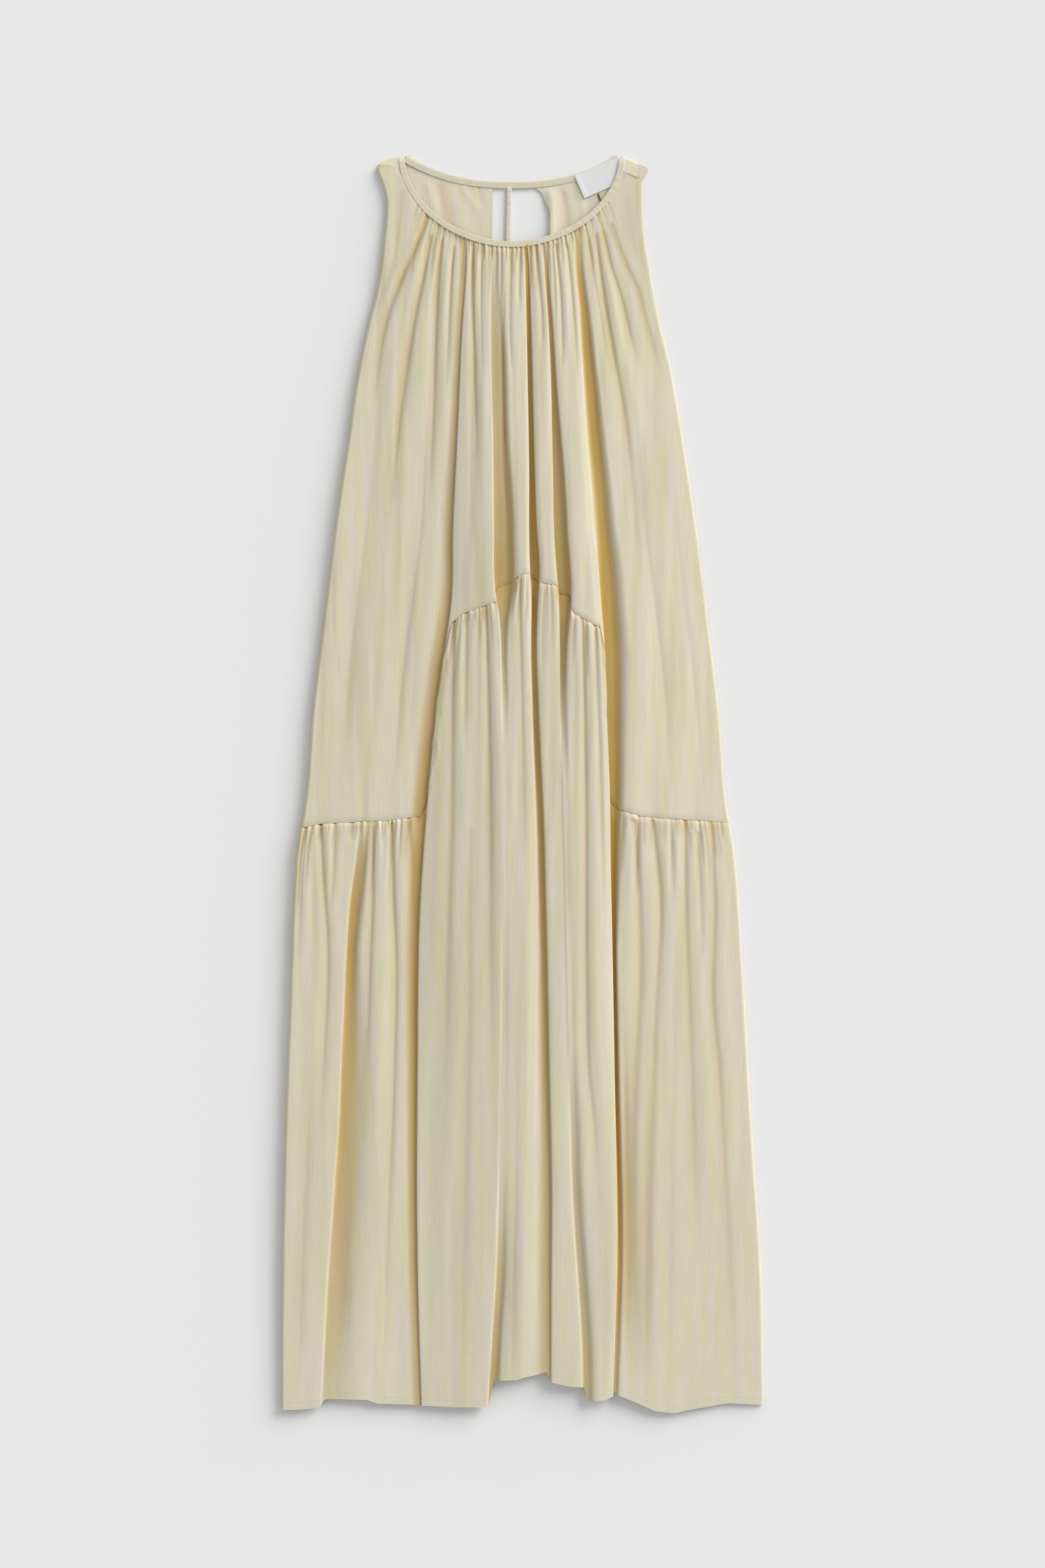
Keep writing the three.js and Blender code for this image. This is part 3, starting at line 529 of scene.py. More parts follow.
def between(low_high, bias=1.0):
    low, high = low_high
    return low + (high - low) * GATHER.random() ** bias


def neck_gathers():
    """Rows like those of CREASES that fan out from the neck seam."""
    rows = []
    g = NECK_GATHERS
    x = g["from"]
    while x < g["to"]:
        start = float(neck_curve(np.array(x), BINDING_LAP)) - 3
        lean = (x - NECK["x"]) / NECK["half"]
        fan = 0.12 * lean + 0.62 * lean**3
        length = between(g["length"], 1.8)
        half = between(g["half"])
        points = [(start + length * s, x + fan * length * s * (1 - 0.3 * s)) for s in (0, 0.33, 0.66, 1)]
        rows.append((points, (half, half * 1.9), (between(g["depth"]), 0.0)))
        x += between(g["gap"]) * (1 + 0.5 * max(0, abs(lean) - 0.55))
    return rows


def fine_gathers():
    """Tiny tucks close below the neck seam, between the longer ones."""
    rows = []
    x = NECK_GATHERS["from"] + 4
    while x < NECK_GATHERS["to"] - 4:
        start = float(neck_curve(np.array(x), BINDING_LAP)) - 3
        length, half = between((9, 28), 1.4), between((0.75, 1.2))
        lean = (x - NECK["x"]) / NECK["half"]
        fan = 0.12 * lean + 0.62 * lean**3
        points = [(start, x), (start + length / 2, x + fan * length / 2), (start + length, x + fan * length)]
        rows.append((points, (half, half * 1.4), (between((2.4, 4.4)), 0.0)))
        x += between((2.0, 3.4))
    return rows


def tier_gathers():
    """Rows like those of CREASES that run down from the tier seam, on the lines of the folds."""
    rows = []
    g = TIER_GATHERS
    walk = np.linspace(0, LAST_Q, 4001)
    seam = seam_down(walk)
    shown = np.array([flat_x(np.array([q]), np.array([s]))[0] for q, s in zip(walk, seam)])
    x = shown[0] + 5
    while x < shown[-1] - 4:
        q = walk[np.argmin(np.abs(shown - x))]
        start = float(seam_down(np.array([q]))[0])
        middle = abs(x) < 110
        length = between(g["length"], 1.6)
        half = between(g["half"]) * (0.8 if middle else 1.0)
        points = []
        for s in (0, 0.25, 0.5, 0.75, 1):
            down = start - 2 + length * s
            points.append((down, float(flat_x(np.array([q]), np.array([down]))[0])))
        rows.append((points, (half, half * 1.8), (between(g["depth"]), 0.0)))
        tuck = start - 2, start + between((5, 11)), start + between((12, 24))
        beside = x + between((1.6, 3.4))
        lean = float(flat_x(np.array([q]), np.array([tuck[2]]))[0]) - x
        rows.append(([(tuck[0], beside), (tuck[1], beside + lean / 2), (tuck[2], beside + lean)],
                     (between((0.8, 1.3)), 1.8), (between((1.6, 3.2)), 0.0)))
        x += between(g["gap"]) * (0.72 if middle else 1.0)
    return rows


BODICE_CREASES = [row for row in CREASES if row[0][0][0] < 430]
TIER_CREASES = [row for row in CREASES if row[0][0][0] >= 430]
NECK_ROWS = neck_gathers() + fine_gathers()
TIER_ROWS = tier_gathers()
print("long creases:", len(CREASES), "gathers at the neck:", len(NECK_ROWS),
      "below the tier seam:", len(TIER_ROWS))


# %% How deep all creases are at a point
LONG_CORE, GATHER_CORE = 1.05, 0.6  # the part of a crease's width that is painted with shade, for the long ones and the gathers
STEEP_SIDE = 0.45  # how much narrower a crease is on its right, where the next fold leans over it


def sunk_by(rows, x, down, core_only=None):
    """Total depth in millimetres of a list of creases at x and down, or that of their cores of some width."""
    total = np.zeros_like(x)
    for points, halves, depths in rows:
        d = np.array([p[0] for p in points])
        near = (down > d[0] - 1) & (down < d[-1] + 1)
        if not near.any():
            continue
        dn = down[near]
        t = np.clip((dn - d[0]) / (d[-1] - d[0]), 0, 1)
        middle = curve_through(points, 1, dn)
        half = halves[0] + (halves[1] - halves[0]) * t
        depth = np.interp(t, np.linspace(0, 1, len(depths)), depths)
        fade = ease((1 - t) / 0.35) * ease((dn - d[0] + 6) / 6)
        signed = (x[near] - middle) / half
        a = np.abs(signed) / np.where(signed > 0, STEEP_SIDE, 1.0)
        core = np.exp(-((a / (core_only or GATHER_CORE)) ** 1.3))
        if core_only:
            total[near] += depth * fade * core
        else:
            ridge = np.exp(-((np.abs(signed) - 1.7) ** 2) / 0.6)
            total[near] += depth * fade * (0.5 * np.exp(-(a**1.6)) + 0.5 * core - 0.25 * ridge)
    return total


# %% [markdown]
# Worn crepe is never smooth. Three layers of random waves, far longer down the cloth than across it, give the
# soft uneven rise and fall between the folds. They are values on a coarse grid, read with smooth steps.


# %% Soft waves in the cloth
TIER_SMOOTH = (560.0, 1000.0)  # between these distances down the small waves die away towards the hem


def waves(x, down, cell_across, cell_down, seed):
    """Smooth random values about 0, from -1 to 1, with cells of the given size in millimetres."""
    values = np.random.default_rng(seed).uniform(-1, 1, (220, 160))
    a = x / cell_across + 90
    b = down / cell_down + 20
    i, j = np.floor(a).astype(int), np.floor(b).astype(int)
    s, t = ease(a - i), ease(b - j)
    i %= values.shape[0]
    j %= values.shape[1]
    i2, j2 = (i + 1) % values.shape[0], (j + 1) % values.shape[1]
    top = values[i, j] * (1 - s) + values[i2, j] * s
    low = values[i, j2] * (1 - s) + values[i2, j2] * s
    return top * (1 - t) + low * t


def unevenness(x, down):
    """Height of the soft waves, and how far into a trough of the middle-sized ones each point is."""
    fade = 1 - 0.7 * ease((down - TIER_SMOOTH[0]) / (TIER_SMOOTH[1] - TIER_SMOOTH[0]))
    middle = fade * waves(x + 0.03 * down, down, 8, 110, 4)
    fine = fade * waves(x - 0.02 * down, down, 3.6, 60, 5)
    return 0.6 * waves(x, down, 19, 170, 3) + 0.34 * middle + 0.07 * fine, ease((-middle - 0.1) / 0.7)


# %% [markdown]
# ## One function for the whole front
# Bodice and tier must meet at the seam and share their folds, so one function gives any point of the front.
# Only the part near a seam differs: the bodice dips into it, and the gathered tier puffs out below it.

# %% The front's point at a place across and down
RIM = {"reach": 3.2, "level": 1.9}
CREASE_SHARE = 0.46
# Shade painted per millimetre of depth of the long creases and of the gathers, and shade painted in the
# waves' troughs.
LONG_CREASE_SHADE, GATHER_SHADE, WAVE_TROUGH_SHADE = 0.10, 0.20, 0.08
SEAM_DIP = {"bodice": (0.9, 2.4), "tier": (1.0, 1.6)}  # depth and reach
PUFF = {"rise": 1.5, "from": 5.0, "to": 50.0}
NECK_EDGE = {"shoulder": 3.9, "middle": 6.2, "reach": 7.0}


def neck_level(x):
    """Height of the gathered neck edge."""
    t = np.clip(np.abs(x - NECK["x"]) / NECK["half"], 0, 1)
    return NECK_EDGE["middle"] + (NECK_EDGE["shoulder"] - NECK_EDGE["middle"]) * t**2


def front_point(q, down, tier, top=None):
    """Points in millimetres on the outer face of the front, and the shade painted on each of them by how deep
    in the folds it lies.
    """
    x, z, valley_shade = laid_point(q, down)
    flat = flat_x(q.ravel(), down.ravel()).reshape(q.shape)
    long_rows, gather_rows = (TIER_CREASES, TIER_ROWS) if tier else (BODICE_CREASES, NECK_ROWS)
    room = np.clip((z - FLOOR_LEVEL_MM) / 4, 0.12, 1)
    creased = sunk_by(long_rows + gather_rows, flat, down)
    swell = sunk_by(SWELLS, flat, down)
    rise, trough = unevenness(flat, down)
    z = z - CREASE_SHARE * creased * room - swell * room + rise * (0.35 + 0.65 * room)
    # painted shade: creases and the troughs of the waves darken and warm the colour, on top of the valleys'
    # shade
    soft = (LONG_CREASE_SHADE * sunk_by(long_rows, flat, down, LONG_CORE)
            + GATHER_SHADE * sunk_by(gather_rows, flat, down, GATHER_CORE))
    soft = np.clip(soft + WAVE_TROUGH_SHADE * trough, 0, 0.85)
    deep = np.clip(valley_shade, 0, 1) + (1 - np.clip(valley_shade, 0, 1)) * soft
    past_seam = down - seam_down(q)
    if tier:
        depth, reach = SEAM_DIP["tier"]
        puff = PUFF["rise"] * (1 - np.exp(-past_seam / PUFF["from"])) * np.exp(-past_seam / PUFF["to"])
        z = z + puff * np.clip(room * 1.2, 0, 1)
    else:
        depth, reach = SEAM_DIP["bodice"]
    z = z - depth * np.exp(-((past_seam / reach) ** 2)) * np.clip(room * 1.5, 0, 1)
    if top is not None:
        past_neck = down - top
        at_neck = (np.abs(x - NECK["x"]) < NECK["half"] + 6).astype(float)
        level = neck_level(x) - 0.45 * creased
        z = z + (level - z) * (1 - ease(past_neck / NECK_EDGE["reach"])) * at_neck
    floor_z = FLOOR_LEVEL_MM - 0.3
    z = floor_z + ((z - floor_z) + np.sqrt((z - floor_z) ** 2 + 0.6)) / 2
    inset = np.minimum(x - line("left", down), line("right", down) - x)
    turn = 1 - np.clip(inset / RIM["reach"], 0, 1)
    z = RIM["level"] + (z - RIM["level"]) * np.sqrt(1 - turn**2)
    return np.stack([x, HALF_LENGTH - down, z], axis=-1), deep


# %% [markdown]
# ## Cloth as a closed wall
# A grid of outer points and a grid of inner points, one cloth's thickness below, are joined around their
# border. The wall is closed, so it has a real edge at the hem and can be printed or simulated. A Solidify
# modifier would do the same, but here the inner face must stay above the panel that lies under it.

# %% Wall of cloth from a grid
CLOTH_MM = 0.8


def grid_normals(grid):
    """Unit normals of a grid of points, rows running down and columns to the right."""
    down = np.gradient(grid, axis=0)
    right = np.gradient(grid, axis=1)
    normal = np.cross(down, right)
    return normal / np.maximum(np.linalg.norm(normal, axis=-1, keepdims=True), 1e-9)


def grain(grid):
    """Distance across and down the dress at each point, in metres: the threads run straight down it."""
    return grid[..., 0] * MM, (HALF_LENGTH - grid[..., 1]) * MM


def write_grain(mesh, u, v):
    """The UV map that the cloth's finish reads, from two values at each point."""
    loops = np.empty(len(mesh.loops), int)
    mesh.loops.foreach_get("vertex_index", loops)
    layer = mesh.uv_layers.new(name="grain")
    layer.data.foreach_set("uv", np.stack([u[loops], v[loops]], -1).ravel().astype("f"))


def wall_object(name, outer, inner, uv, extra=None, cells=None):
    """A closed wall between two grids of points in millimetres, with a UV map and named attributes."""
    rows, columns = outer.shape[:2]
    count = rows * columns
    index = np.arange(count).reshape(rows, columns)
    cells = np.ones((rows - 1, columns - 1), bool) if cells is None else cells
    a, b, c, d = index[:-1, :-1], index[:-1, 1:], index[1:, 1:], index[1:, :-1]
    quads = [np.stack([a, d, c, b], -1)[cells]]
    quads.append(np.stack([a, b, c, d], -1)[cells] + count)
    padded = np.pad(cells, 1)
    for (di, dj), (p, r) in {(-1, 0): (a, b), (1, 0): (c, d), (0, -1): (d, a), (0, 1): (b, c)}.items():
        open_side = cells & ~padded[1 + di : rows + di, 1 + dj : columns + dj]
        quads.append(np.stack([p, r, r + count, p + count], -1)[open_side])
    quads = np.concatenate(quads)
    points = np.concatenate([outer.reshape(-1, 3), inner.reshape(-1, 3)]) * MM
    used, quads = np.unique(quads, return_inverse=True)
    quads = quads.reshape(-1, 4)
    mesh = bpy.data.meshes.new(name)
    mesh.from_pydata(points[used].tolist(), [], quads.tolist())
    u, v = (np.concatenate([part.ravel(), part.ravel()])[used] for part in uv)
    write_grain(mesh, u, v)
    for key, values in (extra or {}).items():
        attribute = mesh.attributes.new(key, "FLOAT", "POINT")
        both = np.concatenate([values.ravel(), values.ravel()])[used]
        attribute.data.foreach_set("value", both.astype("f"))
    mesh.shade_smooth()
    mesh.set_sharp_from_angle(angle=math.radians(70))
    made = in_scene(name, mesh)
    print(f"{name}: {len(used)} points, {2 * len(quads)} triangles")
    return made


# %% [markdown]
# ## Columns and rows
# The columns follow the fold lines, so a rolled edge is always on a line of the mesh and stays crisp. They
# are close together on the slopes and at the rounded sides, and rows are close at the seams, where the
# gathers are small.

# %% Columns across the front
COLUMNS = [48, 4, 2, 6, 40, 8, 3, 8, 44, 8, 6, 7, 22, 7, 4, 7, 14, 7, 5, 7, 26, 8, 6, 10, 76]
LENGTHWISE_SEAM_Q = 20.72


def columns_across():
    places = []
    for u, steps in enumerate(COLUMNS):
        t = np.arange(steps) / steps
        if u == 0:
            t = 0.35 * t**2 + 0.65 * t
        if u == LAST_Q - 1:
            t = 1 - (0.35 * (1 - t) ** 2 + 0.65 * (1 - t))
        places.append(u + t)
    return np.concatenate(places + [[LAST_Q]])


ACROSS = columns_across()
print("columns across the front:", len(ACROSS))


def spaced_rows(steps, fine_start, fine_end):
    """Shares from 0 to 1 with smaller steps near both ends."""
    t = np.linspace(0, 1, steps + 1)
    weight = 1 - 0.62 * np.exp(-t / fine_start) - 0.5 * np.exp(-(1 - t) / fine_end)
    total = np.concatenate([[0], np.cumsum((weight[1:] + weight[:-1]) / 2)])
    return total / total[-1]


def inner_of(outer, least, side_columns=()):
    inner = outer - grid_normals(outer) * CLOTH_MM
    inner[..., 2] = np.maximum(inner[..., 2], least)
    for j in side_columns:
        inner[:, j, 2] = least
    return inner


# %% [markdown]
# ## The crepe
# Viscose crepe is matt, with a faint sheen on its crowns, and its threads are uneven: thick places, called
# slubs, show as short streaks down the cloth. The finish is one node group, used with its own values in
# each cloth material: streaks along the grain, a fine pebbled grain, a slow drift of tone, and shade painted
# into the folds, a darker and warmer colour read from an attribute of how deep each point lies.


# %% Node helpers
def new_group(name, inputs, outputs):
    group = bpy.data.node_groups.new(name, "ShaderNodeTree")
    for label, kind, value in inputs:
        socket = group.interface.new_socket(name=label, in_out="INPUT", socket_type=kind)
        socket.default_value = value
    for label, kind in outputs:
        group.interface.new_socket(name=label, in_out="OUTPUT", socket_type=kind)
    return group, group.nodes.new("NodeGroupInput"), group.nodes.new("NodeGroupOutput")


def add_node(tree, kind, settings=None, **sockets):
    """A node with its settings and sockets; a socket's value may be another node's output."""
    node = tree.nodes.new(kind)
    for key, value in (settings or {}).items():
        setattr(node, key, value)
    for key, value in sockets.items():
        socket = (node.inputs[int(key[1:])] if key[0] == "i" and key[1:].isdigit()
                  else node.inputs[key.replace("_", " ")])
        if isinstance(value, bpy.types.NodeSocket):
            tree.links.new(value, socket)
        else:
            socket.default_value = value
    return node


def math_node(tree, operation, *values):
    sockets = {f"i{i}": value for i, value in enumerate(values)}
    return add_node(tree, "ShaderNodeMath", {"operation": operation}, **sockets).outputs[0]


FOLD_SHADE_MIDPOINT = 0.45
PINK_CAST, OLIVE_CAST = (1.01, 0.985, 1.08, 1), (0.975, 0.995, 0.87, 1)


def crepe_group():
    """Colour and height of slubby crepe, on the grain's UV map in metres, with shade painted into the folds.
    """
    inputs = [("Tone", "NodeSocketColor", (0.8, 0.75, 0.6, 1)),
              ("Mid shade tone", "NodeSocketColor", (0.7, 0.6, 0.4, 1)),
              ("Deep shade tone", "NodeSocketColor", (0.6, 0.45, 0.2, 1)), ("Slubs", "NodeSocketFloat", 1.0),
              ("Fold shade amount", "NodeSocketFloat", 0.5)]
    outputs = [("Color", "NodeSocketColor"), ("Height", "NodeSocketFloat")]
    group, given, result = new_group("slubby_crepe", inputs, outputs)
    uv = add_node(group, "ShaderNodeUVMap", {"uv_map": "grain"}).outputs["UV"]

    def streaks(across, along, detail):
        stretched = add_node(group, "ShaderNodeMapping", Vector=uv,
                             Scale=(1 / across, 1 / along, 1)).outputs[0]
        noise = add_node(group, "ShaderNodeTexNoise", Vector=stretched, Scale=1.0,
                         Detail=detail, Roughness=0.6)
        return noise.outputs["Fac"]

    slub = streaks(0.0016, 0.030, 3)
    thread = streaks(0.0006, 0.006, 2)
    pebble = streaks(0.0013, 0.0017, 2)
    drift = streaks(0.012, 0.16, 2)
    height = math_node(group, "MULTIPLY", slub, 0.55)
    height = math_node(group, "MULTIPLY_ADD", thread, 0.25, height)
    height = math_node(group, "MULTIPLY_ADD", pebble, 0.35, height)
    height = math_node(group, "MULTIPLY", height, given.outputs["Slubs"])
    tone = math_node(group, "MULTIPLY_ADD", slub, 0.16, 0.92)
    tone = math_node(group, "MULTIPLY_ADD", drift, 0.10, math_node(group, "SUBTRACT", tone, 0.05))
    hue = add_node(group, "ShaderNodeMapRange", Value=streaks(0.010, 0.13, 3),
                   From_Min=0.36, From_Max=0.64).outputs[0]
    cast = add_node(group, "ShaderNodeMix", {"data_type": "RGBA"}, i0=hue,
                    i6=PINK_CAST, i7=OLIVE_CAST).outputs[2]
    # painted shade: the fold attribute mixes the tone towards a mid and then a deep shade colour
    depth = add_node(group, "ShaderNodeAttribute", {"attribute_name": "painted_fold_shade"}).outputs["Fac"]
    painted_shade = math_node(group, "MULTIPLY", depth, given.outputs["Fold shade amount"])
    shallow = math_node(group, "MINIMUM", math_node(group, "MULTIPLY", painted_shade, 1 / FOLD_SHADE_MIDPOINT), 1)
    past_mid = math_node(group, "MULTIPLY_ADD", painted_shade, 1 / (1 - FOLD_SHADE_MIDPOINT), -FOLD_SHADE_MIDPOINT / (1 - FOLD_SHADE_MIDPOINT))
    sunk = math_node(group, "MAXIMUM", past_mid, 0)
    mixed = add_node(group, "ShaderNodeMix", {"data_type": "RGBA"}, i0=shallow, i6=given.outputs["Tone"],
                     i7=given.outputs["Mid shade tone"]).outputs[2]
    mixed = add_node(group, "ShaderNodeMix", {"data_type": "RGBA"}, i0=sunk, i6=mixed,
                     i7=given.outputs["Deep shade tone"]).outputs[2]
    cast_on = add_node(group, "ShaderNodeVectorMath", {"operation": "MULTIPLY"}, i0=mixed, i1=cast).outputs[0]
    toned = add_node(group, "ShaderNodeVectorMath", {"operation": "SCALE"}, i0=cast_on, Scale=tone).outputs[0]
    group.links.new(toned, result.inputs["Color"])
    group.links.new(height, result.inputs["Height"])
    return group


CREPE = crepe_group()


# %% Cloth materials
def cloth_material(name, tone, mid_shade_tone, deep_shade_tone, slubs, fold_shade_gain, roughness=0.82, sheen=0.12, bump=0.35):
    material = bpy.data.materials.new(name)
    material.use_nodes = True
    tree = material.node_tree
    shader = tree.nodes["Principled BSDF"]
    crepe = add_node(tree, "ShaderNodeGroup", {"node_tree": CREPE})
    crepe.inputs["Tone"].default_value = (*tone, 1)
    crepe.inputs["Mid shade tone"].default_value = (*mid_shade_tone, 1)
    crepe.inputs["Deep shade tone"].default_value = (*deep_shade_tone, 1)
    crepe.inputs["Slubs"].default_value = slubs
    crepe.inputs["Fold shade amount"].default_value = fold_shade_gain
    rise = add_node(tree, "ShaderNodeBump", Strength=bump, Distance=0.0006, Height=crepe.outputs["Height"])
    tree.links.new(crepe.outputs["Color"], shader.inputs["Base Color"])
    tree.links.new(rise.outputs[0], shader.inputs["Normal"])
    shader.inputs["Roughness"].default_value = roughness
    shader.inputs["Sheen Weight"].default_value = sheen
    shader.inputs["Sheen Roughness"].default_value = 0.5
    shader.inputs["Specular IOR Level"].default_value = 0.25
    return material


CREAM = (0.69, 0.635, 0.49)
# Mid and deep colours of the shade painted into the folds; the bindings get none of it.
STRAW_FOLD_SHADE = (0.57, 0.47, 0.29)
HONEY_FOLD_SHADE = (0.575, 0.39, 0.125)
ROSE_FOLD_SHADE = (0.70, 0.55, 0.40)
crepe = cloth_material("cream_crepe", CREAM, STRAW_FOLD_SHADE, HONEY_FOLD_SHADE, 1.0, 1.0)
inside_crepe = cloth_material("cream_crepe_inside", (0.73, 0.67, 0.53), ROSE_FOLD_SHADE, STRAW_FOLD_SHADE, 1.0, 1.0)
binding_crepe = cloth_material("cream_binding", (0.70, 0.65, 0.50), STRAW_FOLD_SHADE, HONEY_FOLD_SHADE, 0.6, 0.0)

def stand_for(piece, node, material):
    """Gives a piece its material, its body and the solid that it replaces."""
    piece.data.materials.append(material)
    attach(piece, "root")
    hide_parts(node)


# %% [markdown]
# ## The front panels
# Each panel is the part of the front between two outlines. The tier's front has a lengthwise seam, so it is
# two panels, with a narrow groove where they meet.

# %% Front bodice and tier
FRONT_INNER_LEAST = 1.3
BODICE_ROWS, TIER_ROW_COUNT = 126, 172
SEAM_GAP = 0.06

tops = top_down(ACROSS)
seams = seam_down(ACROSS)
hems = hem_down(ACROSS)


def front_panel(name, q, top, bottom, shares, tier, side_columns):
    down = top + (bottom - top) * shares[:, None]
    across = np.broadcast_to(q, down.shape).copy()
    outer, deep = front_point(across, down, tier, top=None if tier else top[None, :])
    inner = inner_of(outer, FRONT_INNER_LEAST, side_columns)
    made = wall_object(name, outer, inner, grain(outer), {"painted_fold_shade": deep})
    return made, outer


bodice, bodice_grid = front_panel(
    "front_bodice_cloth", ACROSS, tops, seams - SEAM_GAP, spaced_rows(BODICE_ROWS, 0.12, 0.05),
    False, (0, -1))

cut = np.searchsorted(ACROSS, LENGTHWISE_SEAM_Q)
middle_columns, right_columns = ACROSS[: cut + 1], ACROSS[cut:]
tier_rows = spaced_rows(TIER_ROW_COUNT, 0.1, 0.02)
tier_middle, middle_grid = front_panel(
    "tier_middle_cloth", middle_columns, seams[: cut + 1] + SEAM_GAP, hems[: cut + 1], tier_rows, True, (0,))
tier_right, right_grid = front_panel(
    "tier_right_cloth", right_columns, seams[cut:] + SEAM_GAP, hems[cut:], tier_rows, True, (-1,))
stand_for(bodice, "front_bodice", crepe)
stand_for(tier_middle, "front_skirt_centre", crepe)
stand_for(tier_right, "front_skirt_right", crepe)

# %% [markdown]
# ## The back
# Through the neck the inside of the back shows, with a long keyhole down its middle. The back is one sheet
# that lies on the floor, turns over at the shoulders in a half circle, and comes a little way down the
# front to its seam. Its rows run from that seam over the fold and down the back, so the turn is one piece.

# %% Lines of the back
BACK_NECK = {"half": 108.0, "deep": 27.0, "power": 2.4}
BACK_LEVEL = 0.3
FOLD_TOP = 3.4
SHOULDER_SEAM_LEVEL = 4.15
BACK_SEAM_DOWN = 692.0
BACK_HEM_SHORT = 5.0
KEYHOLE_MIDDLE = -1.2
KEYHOLE_LEFT = [(20, -31), (96, -31.3)]
KEYHOLE_RIGHT = [(20, 6), (31, 9), (36, 18), (39, 21), (47, 22.8), (52, 26.5), (58, 28.9), (96, 28.9)]
KEYHOLE_ROUND = (96.0, 122.0, 210.0)  # where it starts to round, where it ends, where the grid is wide again
NARROW = 0.06


def keyhole_side(rows, down):
    """x of one side of the keyhole; below its end the same line only spreads the grid again."""
    straight, end, wide = KEYHOLE_ROUND
    side = read(rows, down)
    rounding = np.clip((down - straight) / (end - straight), 0, 1)
    half = np.maximum(np.sqrt(1 - rounding**2), NARROW)
    half = np.maximum(half, ease((down - end) / (wide - end)))
    return KEYHOLE_MIDDLE + (side - KEYHOLE_MIDDLE) * half


def back_neck_down(x):
    t = np.clip(np.abs(x - NECK["x"]) / BACK_NECK["half"], 0, 1)
    return BACK_NECK["deep"] * (1 - t ** BACK_NECK["power"])


SHOULDER_INNER_LEFT, SHOULDER_INNER_RIGHT = -124.5, 102.5  # where the neck meets the shoulders
SHOULDER_SHARE = 0.17  # the part of the width that the shoulder columns take below SPREAD_BY
SPREAD_BY = 330
BACK_COLUMNS = [16, 34, 8, 34, 16]  # left shoulder, left of the keyhole, keyhole, right of it, right shoulder


def back_columns(down, inset=0.0):
    """x of every column at one distance down, from left to right."""
    left, right = float(line("left", down)) + inset, float(line("right", down)) - inset
    spread = float(ease(down / SPREAD_BY))
    part = SHOULDER_SHARE * (right - left)
    inner_left = SHOULDER_INNER_LEFT + (left + part - SHOULDER_INNER_LEFT) * spread
    inner_right = SHOULDER_INNER_RIGHT + (right - part - SHOULDER_INNER_RIGHT) * spread
    inner_left, inner_right = max(inner_left, left + 1), min(inner_right, right - 1)
    marks = [left, inner_left, float(keyhole_side(KEYHOLE_LEFT, down)),
             float(keyhole_side(KEYHOLE_RIGHT, down)), inner_right, right]
    parts = [a + (b - a) * np.arange(n) / n for a, b, n in zip(marks, marks[1:], BACK_COLUMNS)]
    return np.concatenate(parts + [[right]])


# %% Soft rise and fall of the back
BACK_CREASES = [  # the same kind of rows as the front's; a negative depth rises from the floor
    ([(34, -62), (46, -52), (60, -43)], (3.5, 5), (-1.8, -1.0)),
    ([(30, -84), (60, -78), (95, -70)], (5, 10), (1.6, 1.6)),
    ([(31, -45), (40, -43), (52, -42)], (2.4, 3), (1.6, 0.6)),
    ([(28, -98), (48, -92), (70, -84)], (4, 6), (-1.4, -0.8)),
    ([(36, 42), (60, 46), (95, 50)], (4, 7), (1.5, 1.3)),
    ([(32, 60), (60, 64), (95, 70)], (4, 6), (-1.4, -0.8)),
    ([(120, -100), (400, -130), (680, -160)], (9, 16), (-1.6, -1.2)),
    ([(150, 80), (420, 110), (640, 136)], (7, 14), (-1.4, -1.8)),
    ([(140, -30), (400, -40), (600, -48)], (6, 12), (-1.5, -1.0)),
    ([(180, 24), (400, 32), (680, 44)], (8, 14), (-1.1, -1.6)),
]
KEYHOLE_LIFT = {"x": 30.0, "half": 5.0, "rise": 2.8, "from": 44.0, "to": 92.0}


def back_gathers(start_of, low, high, gap, length, depth):
    """Small tucks below an edge of the back."""
    rows = []
    x = low
    while x < high:
        start = float(start_of(np.array(x))) - 2
        long, half = between(length, 1.5), between((1.6, 3.0))
        points = [(start, x), (start + long / 2, x), (start + long, x)]
        rows.append((points, (half, half * 1.8), (between(depth), 0.0)))
        x += between(gap)
    return rows


BACK_ROWS = BACK_CREASES + back_gathers(back_neck_down, -92, 74, (9, 17), (12, 40), (-1.0, -0.4))
BACK_TIER_ROWS = back_gathers(lambda x: BACK_SEAM_DOWN, -216, 206, (6, 12), (22, 150), (-2.0, -0.8))


def back_height(x, down, rows):
    """Height of the lower face of the back."""
    z = BACK_LEVEL + 0.35 + 0.3 * waves(x, down, 16, 120, 8) - 0.5 * sunk_by(rows, x, down)
    lift = KEYHOLE_LIFT
    window = ease((down - lift["from"] + 12) / 12) * ease((lift["to"] + 10 - down) / 12)
    z = z + lift["rise"] * window * np.exp(-(((x - lift["x"]) / lift["half"]) ** 2))
    return 0.12 + (z - 0.12 + np.sqrt((z - 0.12) ** 2 + 0.02)) / 2


# %% Back bodice
OVER_ROWS, TURN_ROWS, BACK_BODICE_ROWS = 7, 9, 96
BACK_WALL_MM = 0.7
BACK_FOLD_SHADE, BACK_TIER_FOLD_SHADE = 0.28, -0.25  # shade painted per millimetre of depth of the back's creases and gathers
